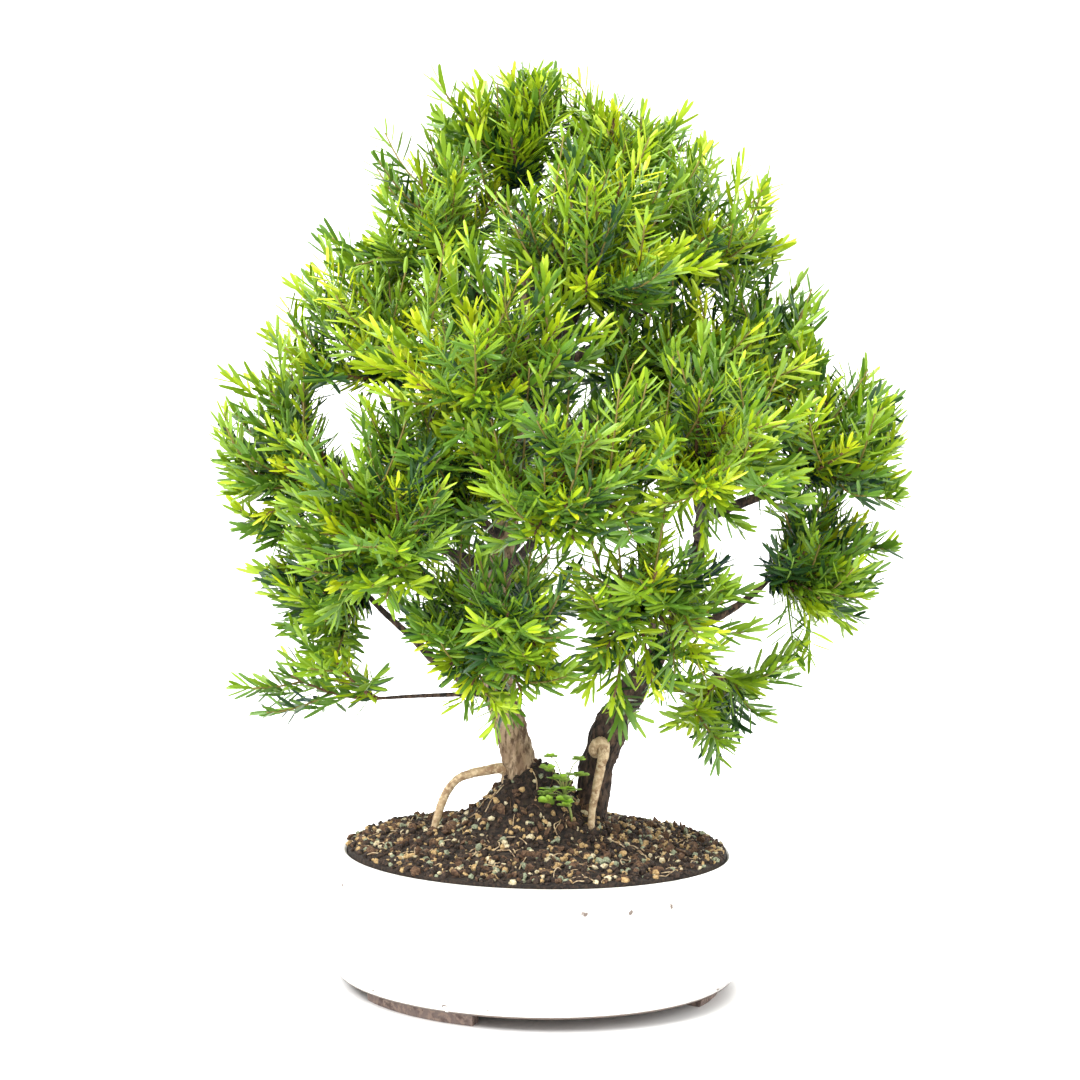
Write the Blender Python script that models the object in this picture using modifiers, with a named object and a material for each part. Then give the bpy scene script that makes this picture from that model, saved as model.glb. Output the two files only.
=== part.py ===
"""A potted hybrid yew grown as a bonsai: two trunks on a mound of soil, in a white glazed drum pot.

Metres, +Z up, standing on z = 0. Everything is laid out from the pot's axis and then hung from one
empty, which moves it so that the origin is the middle of the whole plant's footprint.
"""

import math
import random

import bmesh
import bpy
from mathutils import Matrix, Vector, noise
from mathutils.geometry import intersect_point_line

MM = 0.001
GAP = 0.3 * MM
UP = Vector((0, 0, 1))

# The pot, turned round its axis
POT_HEIGHT = 88 * MM
POT_BELLY_RADIUS = 141 * MM
POT_MOUTH_RADIUS = 124.7 * MM
POT_BASE_RADIUS = 130 * MM
POT_FOOT_HEIGHT = 9 * MM
POT_FLOOR = 16 * MM
POT_SHOULDER = 78 * MM
POT_STEPS = 40
FOOT_RADIUS = 122 * MM
FOOT_WIDTH = 11 * MM
FOOT_ARC = math.radians(42)
FOOT_DIRECTIONS = [math.radians(231 + 120 * k) for k in range(3)]
STUDS_A_ROW = 30
STUD_RADIUS = 3.4 * MM
STUD_HEIGHT = 2.6 * MM
STUD_ROWS = ((75.5 * MM, 138.4 * MM), (13.5 * MM, 131.6 * MM))

# The soil, level at the rim and heaped up under the trunks
SOIL_LEVEL = 86 * MM
MOUND_CENTRE = Vector((-3 * MM, 0))
MOUND_STEEP = (40 * MM, 33 * MM)
MOUND_GENTLE = (20 * MM, 95 * MM)
SOIL_ROUGHNESS = 1.4 * MM
ROOT_END_HEIGHT = 1.6 * MM

# Where the whole plant stands, so that the origin is the middle of its footprint
POT_AXIS = Vector((-10.5 * MM, 4.5 * MM, 0))

# Trunks, as (x, y, z, radius) in millimetres from the pot's axis, from the flat cut to the tip
TRUNKS = {
    "trunk_left": (
        (-12, 0, 127, 14.5), (-12, 0, 133, 12), (-13, 0, 146, 10.4), (-19, 0, 168, 10.2),
        (-26, 1, 190, 10), (-31, 3, 225, 8.4), (-28, 4, 270, 7.4), (-20, 3, 325, 6.2),
        (-14, 0, 385, 5), (-14, -2, 440, 3.8), (-17, 0, 486, 2.8),
    ),
    "trunk_right": (
        (34, -2, 103, 12.5), (34, -2, 109, 10.4), (36, -2, 128, 9.4), (40, -1, 150, 10.4),
        (46, 0, 170, 10.8), (56, 1, 187, 8.6), (74, 2, 214, 6.8), (93, 4, 248, 5.8),
        (103, 5, 290, 4.8), (106, 5, 328, 3.8), (108, 4, 356, 3),
    ),
}

TRUNK_SIDES = 12

# Masses of foliage: the hub where the stem forks, the furthest tips, how many sprays the rule adds,
# the limb that the bough leaves, and how steeply the bough climbs to the hub
MASSES = {
    "crown_top": ((-18, 2, 520), ((-27, 0, 604), (-58, -18, 574), (-5, 20, 592)), 1, None, 0),
    "crown_top_right": ((40, 10, 508), ((20, 22, 586), (40, -20, 574), (70, 14, 568)), 1, "trunk_left", 1.0),
    "crown_upper_left": ((-64, 4, 468), ((-88, 0, 542), (-62, -46, 526), (-86, 48, 512)), 2, "trunk_left", 0.9),
    "crown_upper_right": ((84, 0, 462), ((100, 0, 543), (133, -12, 500), (104, 50, 515)), 2, "trunk_left", 0.7),
    "crown_right_upper": ((112, 4, 390), ((138, 24, 453), (145, -22, 437), (179, 10, 412)), 2, None, 0),
    "crown_left_shoulder": ((-102, 4, 396), ((-149, 0, 452), (-113, 30, 474), (-118, -44, 462)), 1,
                            "trunk_left", 0.6),
    "crown_left": ((-136, -4, 328), ((-181, -20, 394), (-212, 0, 353), (-188, 44, 350), (-196, -42, 320)), 1,
                   "trunk_left", 0.5),
    "crown_left_low": ((-116, 8, 254), ((-182, 10, 275), (-152, -24, 233), (-150, 50, 262)), 1, "trunk_left", 0.8),
    "crown_left_hanging": ((-106, -6, 186), ((-174, -4, 206),), 0, "bough_crown_left_low", -0.1),
    "crown_centre_left": ((-62, -42, 330), ((-56, -104, 354), (-74, -64, 384), (-42, -100, 300)), 1,
                          "trunk_left", 0.6),
    "crown_centre_right": ((60, -26, 396), ((60, -84, 424), (98, -34, 436), (84, -70, 384)), 2, "trunk_left", 0.6),
    "crown_right": ((166, -2, 338), ((220, 0, 397), (231, -14, 361), (205, 48, 372), (186, -20, 404)), 1,
                    "trunk_right", 0.5),
    "crown_right_low": ((150, 2, 270), ((214, 6, 312), (197, -34, 284), (194, 40, 270), (182, -4, 242)), 1,
                        "trunk_right", 0.9),
    "crown_right_hanging": ((116, -18, 206), ((142, -16, 196), (94, -34, 172), (134, 20, 182)), 0,
                            "bough_crown_right_low", 0.1),
    "crown_front_top": ((24, -56, 448), ((31, -90, 512), (46, -72, 530), (66, -98, 476), (-10, -76, 504)), 1,
                        "trunk_left", 0.8),
    "crown_front_upper": ((-38, -82, 384), ((-35, -134, 432), (-84, -102, 436), (12, -124, 436)), 2,
                          "trunk_left", 0.6),
    "crown_front_left": ((-88, -84, 290), ((-92, -148, 306), (-128, -100, 346), (-132, -92, 270)), 2,
                         "trunk_left", 0.5),
    "crown_front": ((8, -104, 322), ((15, -182, 330), (4, -158, 376), (48, -164, 352)), 2, "trunk_left", 0.5),
    "crown_front_right": ((92, -84, 340), ((92, -124, 394), (96, -150, 330), (144, -84, 356)), 2,
                          "trunk_right", 0.5),
    "crown_front_low": ((-28, -80, 238), ((-19, -148, 262), (-78, -108, 232), (6, -130, 216)), 2,
                        "trunk_left", 0.35),
    "crown_front_low_right": ((58, -76, 262), ((68, -154, 288), (43, -100, 190), (114, -88, 262)), 2,
                              "trunk_right", 0.4),
}
# The crown's far side repeats its near side, turned over front to back
FAR_SIDE = {
    "crown_front_top": "crown_back_top",
    "crown_front_upper": "crown_back_upper",
    "crown_front_left": "crown_back_left",
    "crown_front": "crown_back",
    "crown_front_right": "crown_back_right",
    "crown_front_low": "crown_back_low",
}
# Thin masses on twigs of their own, with no dense middle
THIN_MASSES = ("crown_left_hanging", "crown_right_hanging")
FAR_SCALE = 0.94
FAR_SHIFT = Vector((6, 0, 8)) * MM

# A bough, from its radius where it leaves the trunk to its radius where it enters a mass
BOUGH_RADII = (3.4 * MM, 1.7 * MM)
THIN_BOUGH_RADII = (1.5 * MM, 1.1 * MM)
BOUGH_END = 29 * MM
THIN_BOUGH_END = 9 * MM
BOUGH_POINTS = 5
CURVE_STEPS = 400
STEM_RADIUS = 1.5 * MM
TWIG_RADIUS = 1.0 * MM

# A spray: a slim core with rings of needles standing out of it, and a tuft of them round each hub
SPRAY_LENGTH = 78 * MM
SPRAY_RINGS = 3
SPRAY_SIDES = 4
CORE_RADIUS = 7.5 * MM
NEEDLE_LENGTH = 24 * MM
NEEDLE_LEAN = math.radians(46)
NEEDLE_HALF_WIDTH = 6 * MM
HEART_RADIUS = 27 * MM
HEART_NEEDLE = 20 * MM
HEART_BARE = math.cos(math.radians(40))
CELL_MARGIN = 1.2 * MM
LIMB_CLEARANCE = 1.0 * MM
MASS_SPREAD = math.radians(64)
MASS_CENTRE_REACH = 0.4
GOLDEN_ANGLE = math.radians(137.508)
GOLDEN_RATIO = 0.618034


def clear_scene():
    for obj in list(bpy.data.objects):
        bpy.data.objects.remove(obj)


def material(name, colour, roughness):
    made = bpy.data.materials.new(name)
    made.use_nodes = True
    shader = made.node_tree.nodes["Principled BSDF"]
    shader.inputs["Base Color"].default_value = (*colour, 1)
    shader.inputs["Roughness"].default_value = roughness
    shader.inputs["Metallic"].default_value = 0
    made.diffuse_color = (*colour, 1)
    return made


def add_object(name, mesh, colour, collection):
    obj = bpy.data.objects.new(name, mesh)
    mesh.materials.append(colour)
    collection.objects.link(obj)
    return obj


def mesh_from(shape, name):
    """Writes a bmesh out as a mesh, and frees it."""
    bmesh.ops.recalc_face_normals(shape, faces=shape.faces)
    mesh = bpy.data.meshes.new(name)
    shape.to_mesh(mesh)
    shape.free()
    return mesh


def evaluated_mesh(obj):
    """The object's mesh with its modifiers or its bevel made real, and a curve's caps welded on."""
    bpy.context.view_layer.update()
    graph = bpy.context.evaluated_depsgraph_get()
    mesh = bpy.data.meshes.new_from_object(obj.evaluated_get(graph))
    shape = bmesh.new()
    shape.from_mesh(mesh)
    bmesh.ops.remove_doubles(shape, verts=shape.verts, dist=0.001 * MM)
    shape.to_mesh(mesh)
    shape.free()
    return mesh


def join(base, pieces, operation="UNION"):
    """One Boolean of all the pieces on the base, applied; the pieces are then removed."""
    group = bpy.data.collections.new(base.name + "_pieces")
    bpy.context.scene.collection.children.link(group)
    for piece in pieces:
        group.objects.link(piece)
    cut = base.modifiers.new("join", "BOOLEAN")
    cut.operation = operation
    cut.operand_type = "COLLECTION"
    cut.collection = group
    cut.solver = "MANIFOLD"
    mesh = evaluated_mesh(base)
    base.modifiers.clear()
    base.data = mesh
    for piece in pieces:
        bpy.data.objects.remove(piece)
    bpy.data.collections.remove(group)


def keep_outer_shell(mesh):
    """Drops every loose piece of surface but the largest: scraps, and the walls of sealed hollows."""
    shape = bmesh.new()
    shape.from_mesh(mesh)
    waiting = set(shape.faces)
    shells = []
    while waiting:
        shell = set()
        border = [waiting.pop()]
        while border:
            face = border.pop()
            shell.add(face)
            for edge in face.edges:
                for other in edge.link_faces:
                    if other in waiting and edge.is_manifold:
                        waiting.discard(other)
                        border.append(other)
        shells.append(shell)
    largest = max(shells, key=lambda faces: sum(face.calc_area() for face in faces))
    spare = [face for faces in shells if faces is not largest for face in faces]
    bmesh.ops.delete(shape, geom=spare, context="FACES")
    shape.to_mesh(mesh)
    shape.free()


def turned(name, profile, steps):
    """A profile of (radius, height) pairs turned once round the Z axis, as a closed mesh."""
    mesh = bpy.data.meshes.new(name)
    edges = [(k, k + 1) for k in range(len(profile) - 1)]
    mesh.from_pydata([(radius, 0, height) for radius, height in profile], edges, [])
    obj = bpy.data.objects.new(name, mesh)
    bpy.context.scene.collection.objects.link(obj)
    screw = obj.modifiers.new("turn", "SCREW")
    screw.steps = screw.render_steps = steps
    screw.use_merge_vertices = True
    screw.merge_threshold = 0.0001
    solid = evaluated_mesh(obj)
    bpy.data.objects.remove(obj)
    return solid


def cone_between(start, end, start_radius, end_radius, sides):
    """A closed tapering prism between two points, as a bmesh."""
    shape = bmesh.new()
    axis = end - start
    turn = axis.to_track_quat("Z", "Y").to_matrix().to_4x4()
    place = Matrix.Translation((start + end) / 2) @ turn
    bmesh.ops.create_cone(
        shape, cap_ends=True, segments=sides, radius1=start_radius, radius2=end_radius,
        depth=axis.length, matrix=place,
    )
    return shape


def pot(collection, glaze):
    """The drum: a floor, a wall that bellies out, a shoulder and a rounded lip, on three feet."""
    wall = (
        (0, POT_FLOOR), (POT_MOUTH_RADIUS - 4 * MM, POT_FLOOR),
        (POT_MOUTH_RADIUS - 0.5 * MM, POT_FLOOR + 5 * MM), (POT_MOUTH_RADIUS, POT_HEIGHT - 3 * MM),
        (POT_MOUTH_RADIUS + 1 * MM, POT_HEIGHT - 0.8 * MM), (POT_MOUTH_RADIUS + 3 * MM, POT_HEIGHT),
        (POT_MOUTH_RADIUS + 6 * MM, POT_HEIGHT - 1.5 * MM), (POT_BELLY_RADIUS - 3.5 * MM, POT_SHOULDER),
        (POT_BELLY_RADIUS - 0.6 * MM, POT_SHOULDER - 12 * MM), (POT_BELLY_RADIUS, POT_HEIGHT / 2 + 6 * MM),
        (POT_BELLY_RADIUS - 1 * MM, POT_HEIGHT / 3), (POT_BASE_RADIUS + 6 * MM, POT_FOOT_HEIGHT + 8 * MM),
        (POT_BASE_RADIUS, POT_FOOT_HEIGHT), (0, POT_FOOT_HEIGHT),
    )
    body = add_object("pot", turned("pot", wall, POT_STEPS), glaze, collection)
    pieces = [foot(direction) for direction in FOOT_DIRECTIONS]
    for height, radius in STUD_ROWS:
        for k in range(STUDS_A_ROW):
            pieces.append(stud(math.tau * (k + 0.5) / STUDS_A_ROW, height, radius))
    join(body, pieces)
    return body


def foot(direction):
    """A low arc of clay under the drum, sunk 1 mm into it."""
    shape = bmesh.new()
    corners = []
    for radius in (FOOT_RADIUS - FOOT_WIDTH, FOOT_RADIUS):
        for height in (0, POT_FOOT_HEIGHT + 1 * MM):
            corners.append(shape.verts.new((radius, 0, height)))
    face = shape.faces.new([corners[0], corners[1], corners[3], corners[2]])
    turn = Matrix.Rotation(direction - FOOT_ARC / 2, 4, "Z")
    bmesh.ops.transform(shape, matrix=turn, verts=shape.verts)
    bmesh.ops.spin(shape, geom=[face], angle=FOOT_ARC, steps=6, axis=UP, cent=(0, 0, 0))
    bmesh.ops.remove_doubles(shape, verts=shape.verts, dist=0.001 * MM)
    return bpy.data.objects.new("foot", mesh_from(shape, "foot"))


def stud(direction, height, radius):
    """A small blunt cone standing out of the wall."""
    outward = Vector((math.cos(direction), math.sin(direction), 0))
    base = outward * (radius - 2.4 * MM) + UP * height
    shape = cone_between(base, base + outward * (STUD_HEIGHT + 2.4 * MM), STUD_RADIUS, STUD_RADIUS * 0.45, 5)
    return bpy.data.objects.new("stud", mesh_from(shape, "stud"))


def mound_height(x, y):
    """Two bell shapes, one steep and one gentle, on a level bed, with a little unevenness."""
    away = (Vector((x, y)) - MOUND_CENTRE).length
    rise = sum(top * math.exp(-((away / reach) ** 2)) for top, reach in (MOUND_STEEP, MOUND_GENTLE))
    rough = noise.noise(Vector((x, y, 0)) / (14 * MM)) * SOIL_ROUGHNESS
    return SOIL_LEVEL + rise + rough * min(1, max(0, (POT_MOUTH_RADIUS - away) / (20 * MM)))


def soil(collection, colour):
    """The soil fills the pot 0.3 mm clear of it, and its top follows the mound."""
    edge = POT_MOUTH_RADIUS - 1 * MM
    top = [(edge * k / 9, SOIL_LEVEL) for k in range(9)]
    side = [(edge, SOIL_LEVEL - 3 * MM), (POT_MOUTH_RADIUS - 1.2 * MM, POT_FLOOR + 6 * MM)]
    floor = [(POT_MOUTH_RADIUS - 5.4 * MM, POT_FLOOR + GAP), (0, POT_FLOOR + GAP)]
    mesh = turned("soil", top + side + floor, POT_STEPS)
    for vertex in mesh.vertices:
        if vertex.co.z > SOIL_LEVEL - 1 * MM:
            vertex.co.z = mound_height(vertex.co.x, vertex.co.y) + vertex.co.z - SOIL_LEVEL
    body = add_object("soil", mesh, colour, collection)
    cutters = []
    for name, stations in TRUNKS.items():
        sleeve = [(x, y, z, radius + 0.4) for x, y, z, radius in stations[:5]]
        x, y, z, radius = sleeve[0]
        sleeve[0] = (x, y, z - 0.3, radius)
        guide = limb(
            name + "_pocket", *limb_route(sleeve), TRUNK_SIDES, colour, bpy.context.scene.collection
        )
        cutter = bpy.data.objects.new(guide.name + "_mesh", evaluated_mesh(guide))
        bpy.data.objects.remove(guide)
        cutters.append(cutter)
    join(body, cutters, "DIFFERENCE")
    keep_outer_shell(body.data)
    return body


def limb_route(stations):
    points = [Vector(station[:3]) * MM for station in stations]
    return points, [station[3] * MM for station in stations]


def limb(name, points, radii, sides, colour, collection):
    """A tapering tube through the points, with flat ends."""
    curve = bpy.data.curves.new(name, "CURVE")
    curve.dimensions = "3D"
    curve.bevel_depth = max(radii)
    curve.bevel_resolution = sides // 2 - 2
    curve.use_fill_caps = True
    line = curve.splines.new("POLY")
    line.points.add(len(points) - 1)
    for point, place, radius in zip(line.points, points, radii):
        point.co = (*place, 1)
        point.radius = radius / max(radii)
    return add_object(name, curve, colour, collection)


def point_at_height(points, radii, height):
    """Where a limb's centre line crosses a height, with its radius there."""
    for (low, high), (low_radius, high_radius) in zip(zip(points, points[1:]), zip(radii, radii[1:])):
        if low.z <= height <= high.z:
            part = (height - low.z) / (high.z - low.z)
            return low.lerp(high, part), low_radius + (high_radius - low_radius) * part
    return (points[0], radii[0]) if height < points[0].z else (points[-1], radii[-1])


def bough_route(parent, hub, climb, end, thick):
    """From the parent's side, out and then up, to a stem's length short of the mass's hub."""
    points, radii = parent
    near = min(points, key=lambda point: (point - hub).length)
    out = Vector((hub.x - near.x, hub.y - near.y, 0))
    start, radius = point_at_height(points, radii, hub.z - climb * out.length)
    out = Vector((hub.x - start.x, hub.y - start.y, 0))
    middle = start + out * 0.55 + UP * (hub.z - start.z) * 0.35
    curve = [
        start.lerp(middle, t).lerp(middle.lerp(hub, t), t)
        for t in (k / CURVE_STEPS for k in range(CURVE_STEPS + 1))
    ]
    first = next(k for k in range(CURVE_STEPS) if cap_is_clear(curve[k], curve[k + 1], thick, parent))
    last = max(k for k, point in enumerate(curve) if (point - hub).length > end)
    picks = [round(first + (last - first) * k / (BOUGH_POINTS - 1)) for k in range(BOUGH_POINTS)]
    return [curve[k] for k in picks]


def cap_is_clear(place, onward, radius, parent):
    """Whether a flat end of this radius, facing back from the onward point, clears the parent limb."""
    forward = (onward - place).normalized()
    side = forward.orthogonal().normalized() * radius
    corners = [place + Matrix.Rotation(math.tau * k / 8, 3, forward) @ side for k in range(8)]
    return all(away_from(corner, *parent) > GAP for corner in corners)


def away_from(place, points, radii):
    """How far a place is from a limb's surface."""
    best = 1.0
    for (low, high), (low_radius, high_radius) in zip(zip(points, points[1:]), zip(radii, radii[1:])):
        nearest, part = intersect_point_line(place, low, high)
        part = min(1, max(0, part))
        nearest = low.lerp(high, part)
        best = min(best, (place - nearest).length - (low_radius + (high_radius - low_radius) * part))
    return best


def clear_of_limbs(place, limbs, room):
    return all(away_from(place, *route) > room for route in limbs.values())


def mass_centres(masses):
    centres = {}
    for name, (hub, tips, *_) in masses.items():
        middle = sum(tips, Vector()) / len(tips)
        centres[name] = hub.lerp(middle, MASS_CENTRE_REACH)
    return centres


def in_cell(place, name, centres):
    """Whether a place is nearer to this mass's centre than to any other's, with a margin."""
    own = centres[name]
    for other, centre in centres.items():
        if other == name:
            continue
        across = (centre - own).normalized()
        if (place - (own + centre) / 2).dot(across) > -CELL_MARGIN:
            return False
    return True


def spray_tips(hub, tips, extra):
    """The furthest tips, and then more by a rule: a golden-angle spiral round their middle direction."""
    found = list(tips)
    middle = sum(tips, Vector()) / len(tips) - hub
    reach = sum((tip - hub).length for tip in tips) / len(tips)
    axis = middle.normalized()
    side = axis.orthogonal().normalized()
    for k in range(extra):
        lean = MASS_SPREAD * math.sqrt(((k + 1) * GOLDEN_RATIO) % 1)
        turn = Matrix.Rotation(GOLDEN_ANGLE * (k + 1), 3, axis)
        direction = axis * math.cos(lean) + turn @ side * math.sin(lean)
        found.append(hub + direction * reach * (0.78 + 0.2 * ((k * GOLDEN_RATIO) % 1)))
    return found


def spray(base, tip, hub, fits):
    """A slim four-sided core with a needle poked out of each face, or None where the core has no room."""
    axis = tip - base
    length = axis.length - NEEDLE_LENGTH * 0.6
    forward = axis.normalized()
    core_tip = base + forward * length
    if not all(fits(base.lerp(core_tip, k / 10), CORE_RADIUS) for k in range(11)):
        return None
    shape = cone_between(base, core_tip, CORE_RADIUS, CORE_RADIUS, SPRAY_SIDES)
    long_edges = [edge for edge in shape.edges if edge.calc_length() > length * 0.9]
    bmesh.ops.subdivide_edges(shape, edges=long_edges, cuts=SPRAY_RINGS - 1)
    for vertex in shape.verts:
        along = (vertex.co - base).dot(forward) / length
        centre = base + forward * along * length
        twist = Matrix.Rotation(math.radians(30) * round(along * SPRAY_RINGS), 3, forward)
        swell = 0.35 + 0.65 * math.sin(math.pi * min(1, 0.12 + 0.76 * along))
        vertex.co = centre + twist @ (vertex.co - centre) * swell
        if not fits(vertex.co, LIMB_CLEARANCE):
            shape.free()
            return None
    shape.normal_update()
    for face in list(shape.faces):
        root = face.calc_center_median()
        along = (root - base).dot(forward) / length
        if (root - hub).length < HEART_RADIUS + 3 * MM or along < 0.01:
            continue
        if along > 0.99:
            direction, reach = forward, NEEDLE_LENGTH * 0.6
        else:
            lean = NEEDLE_LEAN * (1.1 - 0.5 * along)
            outward = (root - base - forward * along * length).normalized()
            direction = outward * math.sin(lean) + forward * math.cos(lean)
            reach = NEEDLE_LENGTH * (0.72 + 0.5 * along * (1.6 - along))
        poke_needle(shape, face, root, direction, reach, fits)
    return shape


def heart(hub, taken, fits):
    """The mass's dense middle: a small twenty-faced core, with needles poked out between its sprays."""
    shape = bmesh.new()
    bmesh.ops.create_icosphere(shape, subdivisions=1, radius=HEART_RADIUS, matrix=Matrix.Translation(hub))
    for vertex in shape.verts:
        while not fits(vertex.co, LIMB_CLEARANCE) and (vertex.co - hub).length > 2 * MM:
            vertex.co = hub.lerp(vertex.co, 0.9)
    for face in list(shape.faces):
        root = face.calc_center_median()
        outward = (root - hub).normalized()
        if all(outward.dot((place - hub).normalized()) < HEART_BARE for place in taken):
            poke_needle(shape, face, root, outward, HEART_NEEDLE, fits)
    return shape


def poke_needle(shape, face, root, direction, reach, fits):
    """Pulls a face's middle out to a point, as far as its mass's space and the limbs allow."""
    while reach > 3 * MM and not needle_fits(root, root + direction * reach, fits):
        reach *= 0.8
    poked = bmesh.ops.poke(shape, faces=[face])
    poked["verts"][0].co = root + direction * reach


def needle_fits(root, point, fits):
    return all(
        fits(root.lerp(point, part), LIMB_CLEARANCE + NEEDLE_HALF_WIDTH * (1 - part))
        for part in (0.25, 0.5, 0.75, 1)
    )


def grow_mass(name, hub, tips, extra, start, limbs, centres, colour, collection):
    """A stem from the bough's tip to the hub, twigs on to the sprays, and the sprays, all joined."""

    def fits(place, room):
        return in_cell(place, name, centres) and clear_of_limbs(place, limbs, room)

    forward = (hub - start).normalized()
    stem_start = start + forward * GAP
    shapes = []
    bases = []
    for tip in spray_tips(hub, tips, extra):
        rise = (tip - hub).normalized() + UP * 0.35 * (1 if tip.z > hub.z else -0.4)
        base = tip - rise.normalized() * min(SPRAY_LENGTH, (tip - hub).length * 0.85)
        grown = spray(base, tip, hub, fits)
        if grown is None:
            base = hub.lerp(tip, 0.2)
            grown = spray(base, tip, hub, fits)
        if grown is None:
            continue
        bases.append(base)
        shapes.append(grown)
        shapes.append(cone_between(hub, base + (tip - base) * 0.12, TWIG_RADIUS * 1.2, TWIG_RADIUS * 0.8, 3))
    if name not in THIN_MASSES:
        shapes.append(heart(hub, bases + [start], fits))
    stem = cone_between(stem_start, hub + forward * 1.5 * MM, STEM_RADIUS, TWIG_RADIUS * 1.5, 5)
    base = add_object(name, mesh_from(stem, name), colour, collection)
    join(base, [bpy.data.objects.new("piece", mesh_from(shape, "piece")) for shape in shapes])
    keep_outer_shell(base.data)
    return base


def placed_masses():
    """The table of masses in metres, with the far side worked out from the near side."""
    masses = {}
    for name, (hub, tips, extra, parent, climb) in MASSES.items():
        near = [Vector(place) * MM for place in (hub, *tips)]
        masses[name] = (near[0], near[1:], extra, parent, climb)
        if name in FAR_SIDE:
            far = [Vector((p.x, -p.y * FAR_SCALE, p.z)) + FAR_SHIFT for p in near]
            masses[FAR_SIDE[name]] = (far[0], far[1:], extra, parent, climb)
    return masses


def rooted(stations):
    """A root's route, with its last point brought down to lie on the soil."""
    points, radii = limb_route(stations)
    end = points[-1]
    end.z = mound_height(end.x, end.y) + ROOT_END_HEIGHT
    return points, radii


def root_left(collection, colour):
    """A root that arches out of the left trunk's foot and back down to the soil."""
    stations = (
        (-26.5, -3, 141, 3.4), (-35, -4, 139.5, 3), (-46, -5, 137, 2.7), (-54, -6, 133, 2.6),
        (-60, -7, 125, 2.6), (-65, -8, 112, 2.4), (-68, -9, 102, 2.1),
    )
    return limb("root_left", *rooted(stations), 6, colour, collection)


def root_front(collection, colour):
    """A root that starts as a knob on the right trunk and runs down its front into the soil."""
    stations = (
        (33, -16, 156, 2.4), (36, -16.5, 162, 2.8), (41, -17.5, 163, 3), (44, -19.5, 157, 2.8),
        (41, -21, 148, 2.4), (38, -23, 134, 2.2), (35, -25, 121, 2), (34.5, -28, 110, 1.8),
    )
    return limb("root_front", *rooted(stations), 6, colour, collection)


def weed(collection, colour):
    """A seedling weed between the trunks: thin stems that fork, each ending in round leaflets."""
    picker = random.Random(5)
    foot_place = Vector((22, -30, 0)) * MM
    foot_place.z = mound_height(foot_place.x, foot_place.y) + 1.6 * MM
    crotch = foot_place + Vector((-5, 0, 16)) * MM
    stem = cone_between(foot_place, crotch + UP * MM, 0.8 * MM, 0.7 * MM, 4)
    body = add_object("weed", mesh_from(stem, "weed"), colour, collection)
    shapes = []
    for k in range(6):
        swing = math.radians(95 + 30 * k)
        top = crotch + Vector((16 * math.cos(swing), -4 + 3 * (k % 3), 10 + 3.4 * (k % 4))) * MM
        shapes.append(cone_between(crotch, top + UP * 0.2 * MM, 0.55 * MM, 0.45 * MM, 3))
        blade = bmesh.new()
        place = Matrix.Translation(top) @ Matrix.Rotation(picker.uniform(-0.4, 0.4), 4, "X")
        bmesh.ops.create_cone(
            blade, cap_ends=True, segments=6, radius1=5 * MM, radius2=4.4 * MM, depth=0.7 * MM, matrix=place
        )
        shapes.append(blade)
    join(body, [bpy.data.objects.new("piece", mesh_from(shape, "piece")) for shape in shapes])
    keep_outer_shell(body.data)
    return body


def main():
    clear_scene()
    collection = bpy.data.collections.new("potted_hybrid_yew")
    bpy.context.scene.collection.children.link(collection)
    glaze = material("white_glaze", (0.86, 0.86, 0.84), 0.25)
    earth = material("potting_soil", (0.055, 0.036, 0.025), 0.95)
    light_bark = material("tan_bark", (0.27, 0.19, 0.13), 0.85)
    dark_bark = material("dark_bark", (0.08, 0.055, 0.04), 0.9)
    needles = material("yew_needles", (0.13, 0.29, 0.03), 0.5)
    herb = material("weed_leaf", (0.2, 0.36, 0.05), 0.55)

    pot(collection, glaze)
    soil(collection, earth)
    limbs = {}
    for name, stations in TRUNKS.items():
        limbs[name] = limb_route(stations)
        bark = light_bark if name == "trunk_left" else dark_bark
        limb(name, *limbs[name], TRUNK_SIDES, bark, collection)
    masses = placed_masses()
    starts = {}
    for name, (hub, _, _, parent, climb) in masses.items():
        if parent is None:
            trunk = "trunk_right" if hub.x > 0.05 else "trunk_left"
            starts[name] = limbs[trunk][0][-1]
            continue
        bough = "bough_" + name
        end = THIN_BOUGH_END if name in THIN_MASSES else BOUGH_END
        thick, thin = THIN_BOUGH_RADII if name in THIN_MASSES else BOUGH_RADII
        route = bough_route(limbs[parent], hub, climb, end, thick)
        radii = [thick + (thin - thick) * k / (BOUGH_POINTS - 1) for k in range(BOUGH_POINTS)]
        limbs[bough] = (route, radii)
        starts[name] = route[-1]
        limb(bough, route, radii, 6, dark_bark, collection)
    root_left(collection, light_bark)
    root_front(collection, light_bark)
    weed(collection, herb)
    centres = mass_centres(masses)
    for name, (hub, tips, extra, *_) in masses.items():
        grow_mass(name, hub, tips, extra, starts[name], limbs, centres, needles, collection)

    holder = bpy.data.objects.new("plant_holder", None)
    collection.objects.link(holder)
    holder.location = POT_AXIS
    for obj in collection.objects:
        if obj is not holder:
            obj.parent = holder


main()
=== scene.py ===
"""A potted hybrid yew trained as a bonsai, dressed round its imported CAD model.

Lengths are in millimetres from the pot's axis until a mesh is written, which turns them to metres.
The crown grows by the same rule as the source: boughs leave the trunks, fork at each mass's hub and
run on to its furthest tips and to more tips on a golden-angle spiral. Here every such twig also
carries side shoots, and every shoot its needles.
"""

import math

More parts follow.
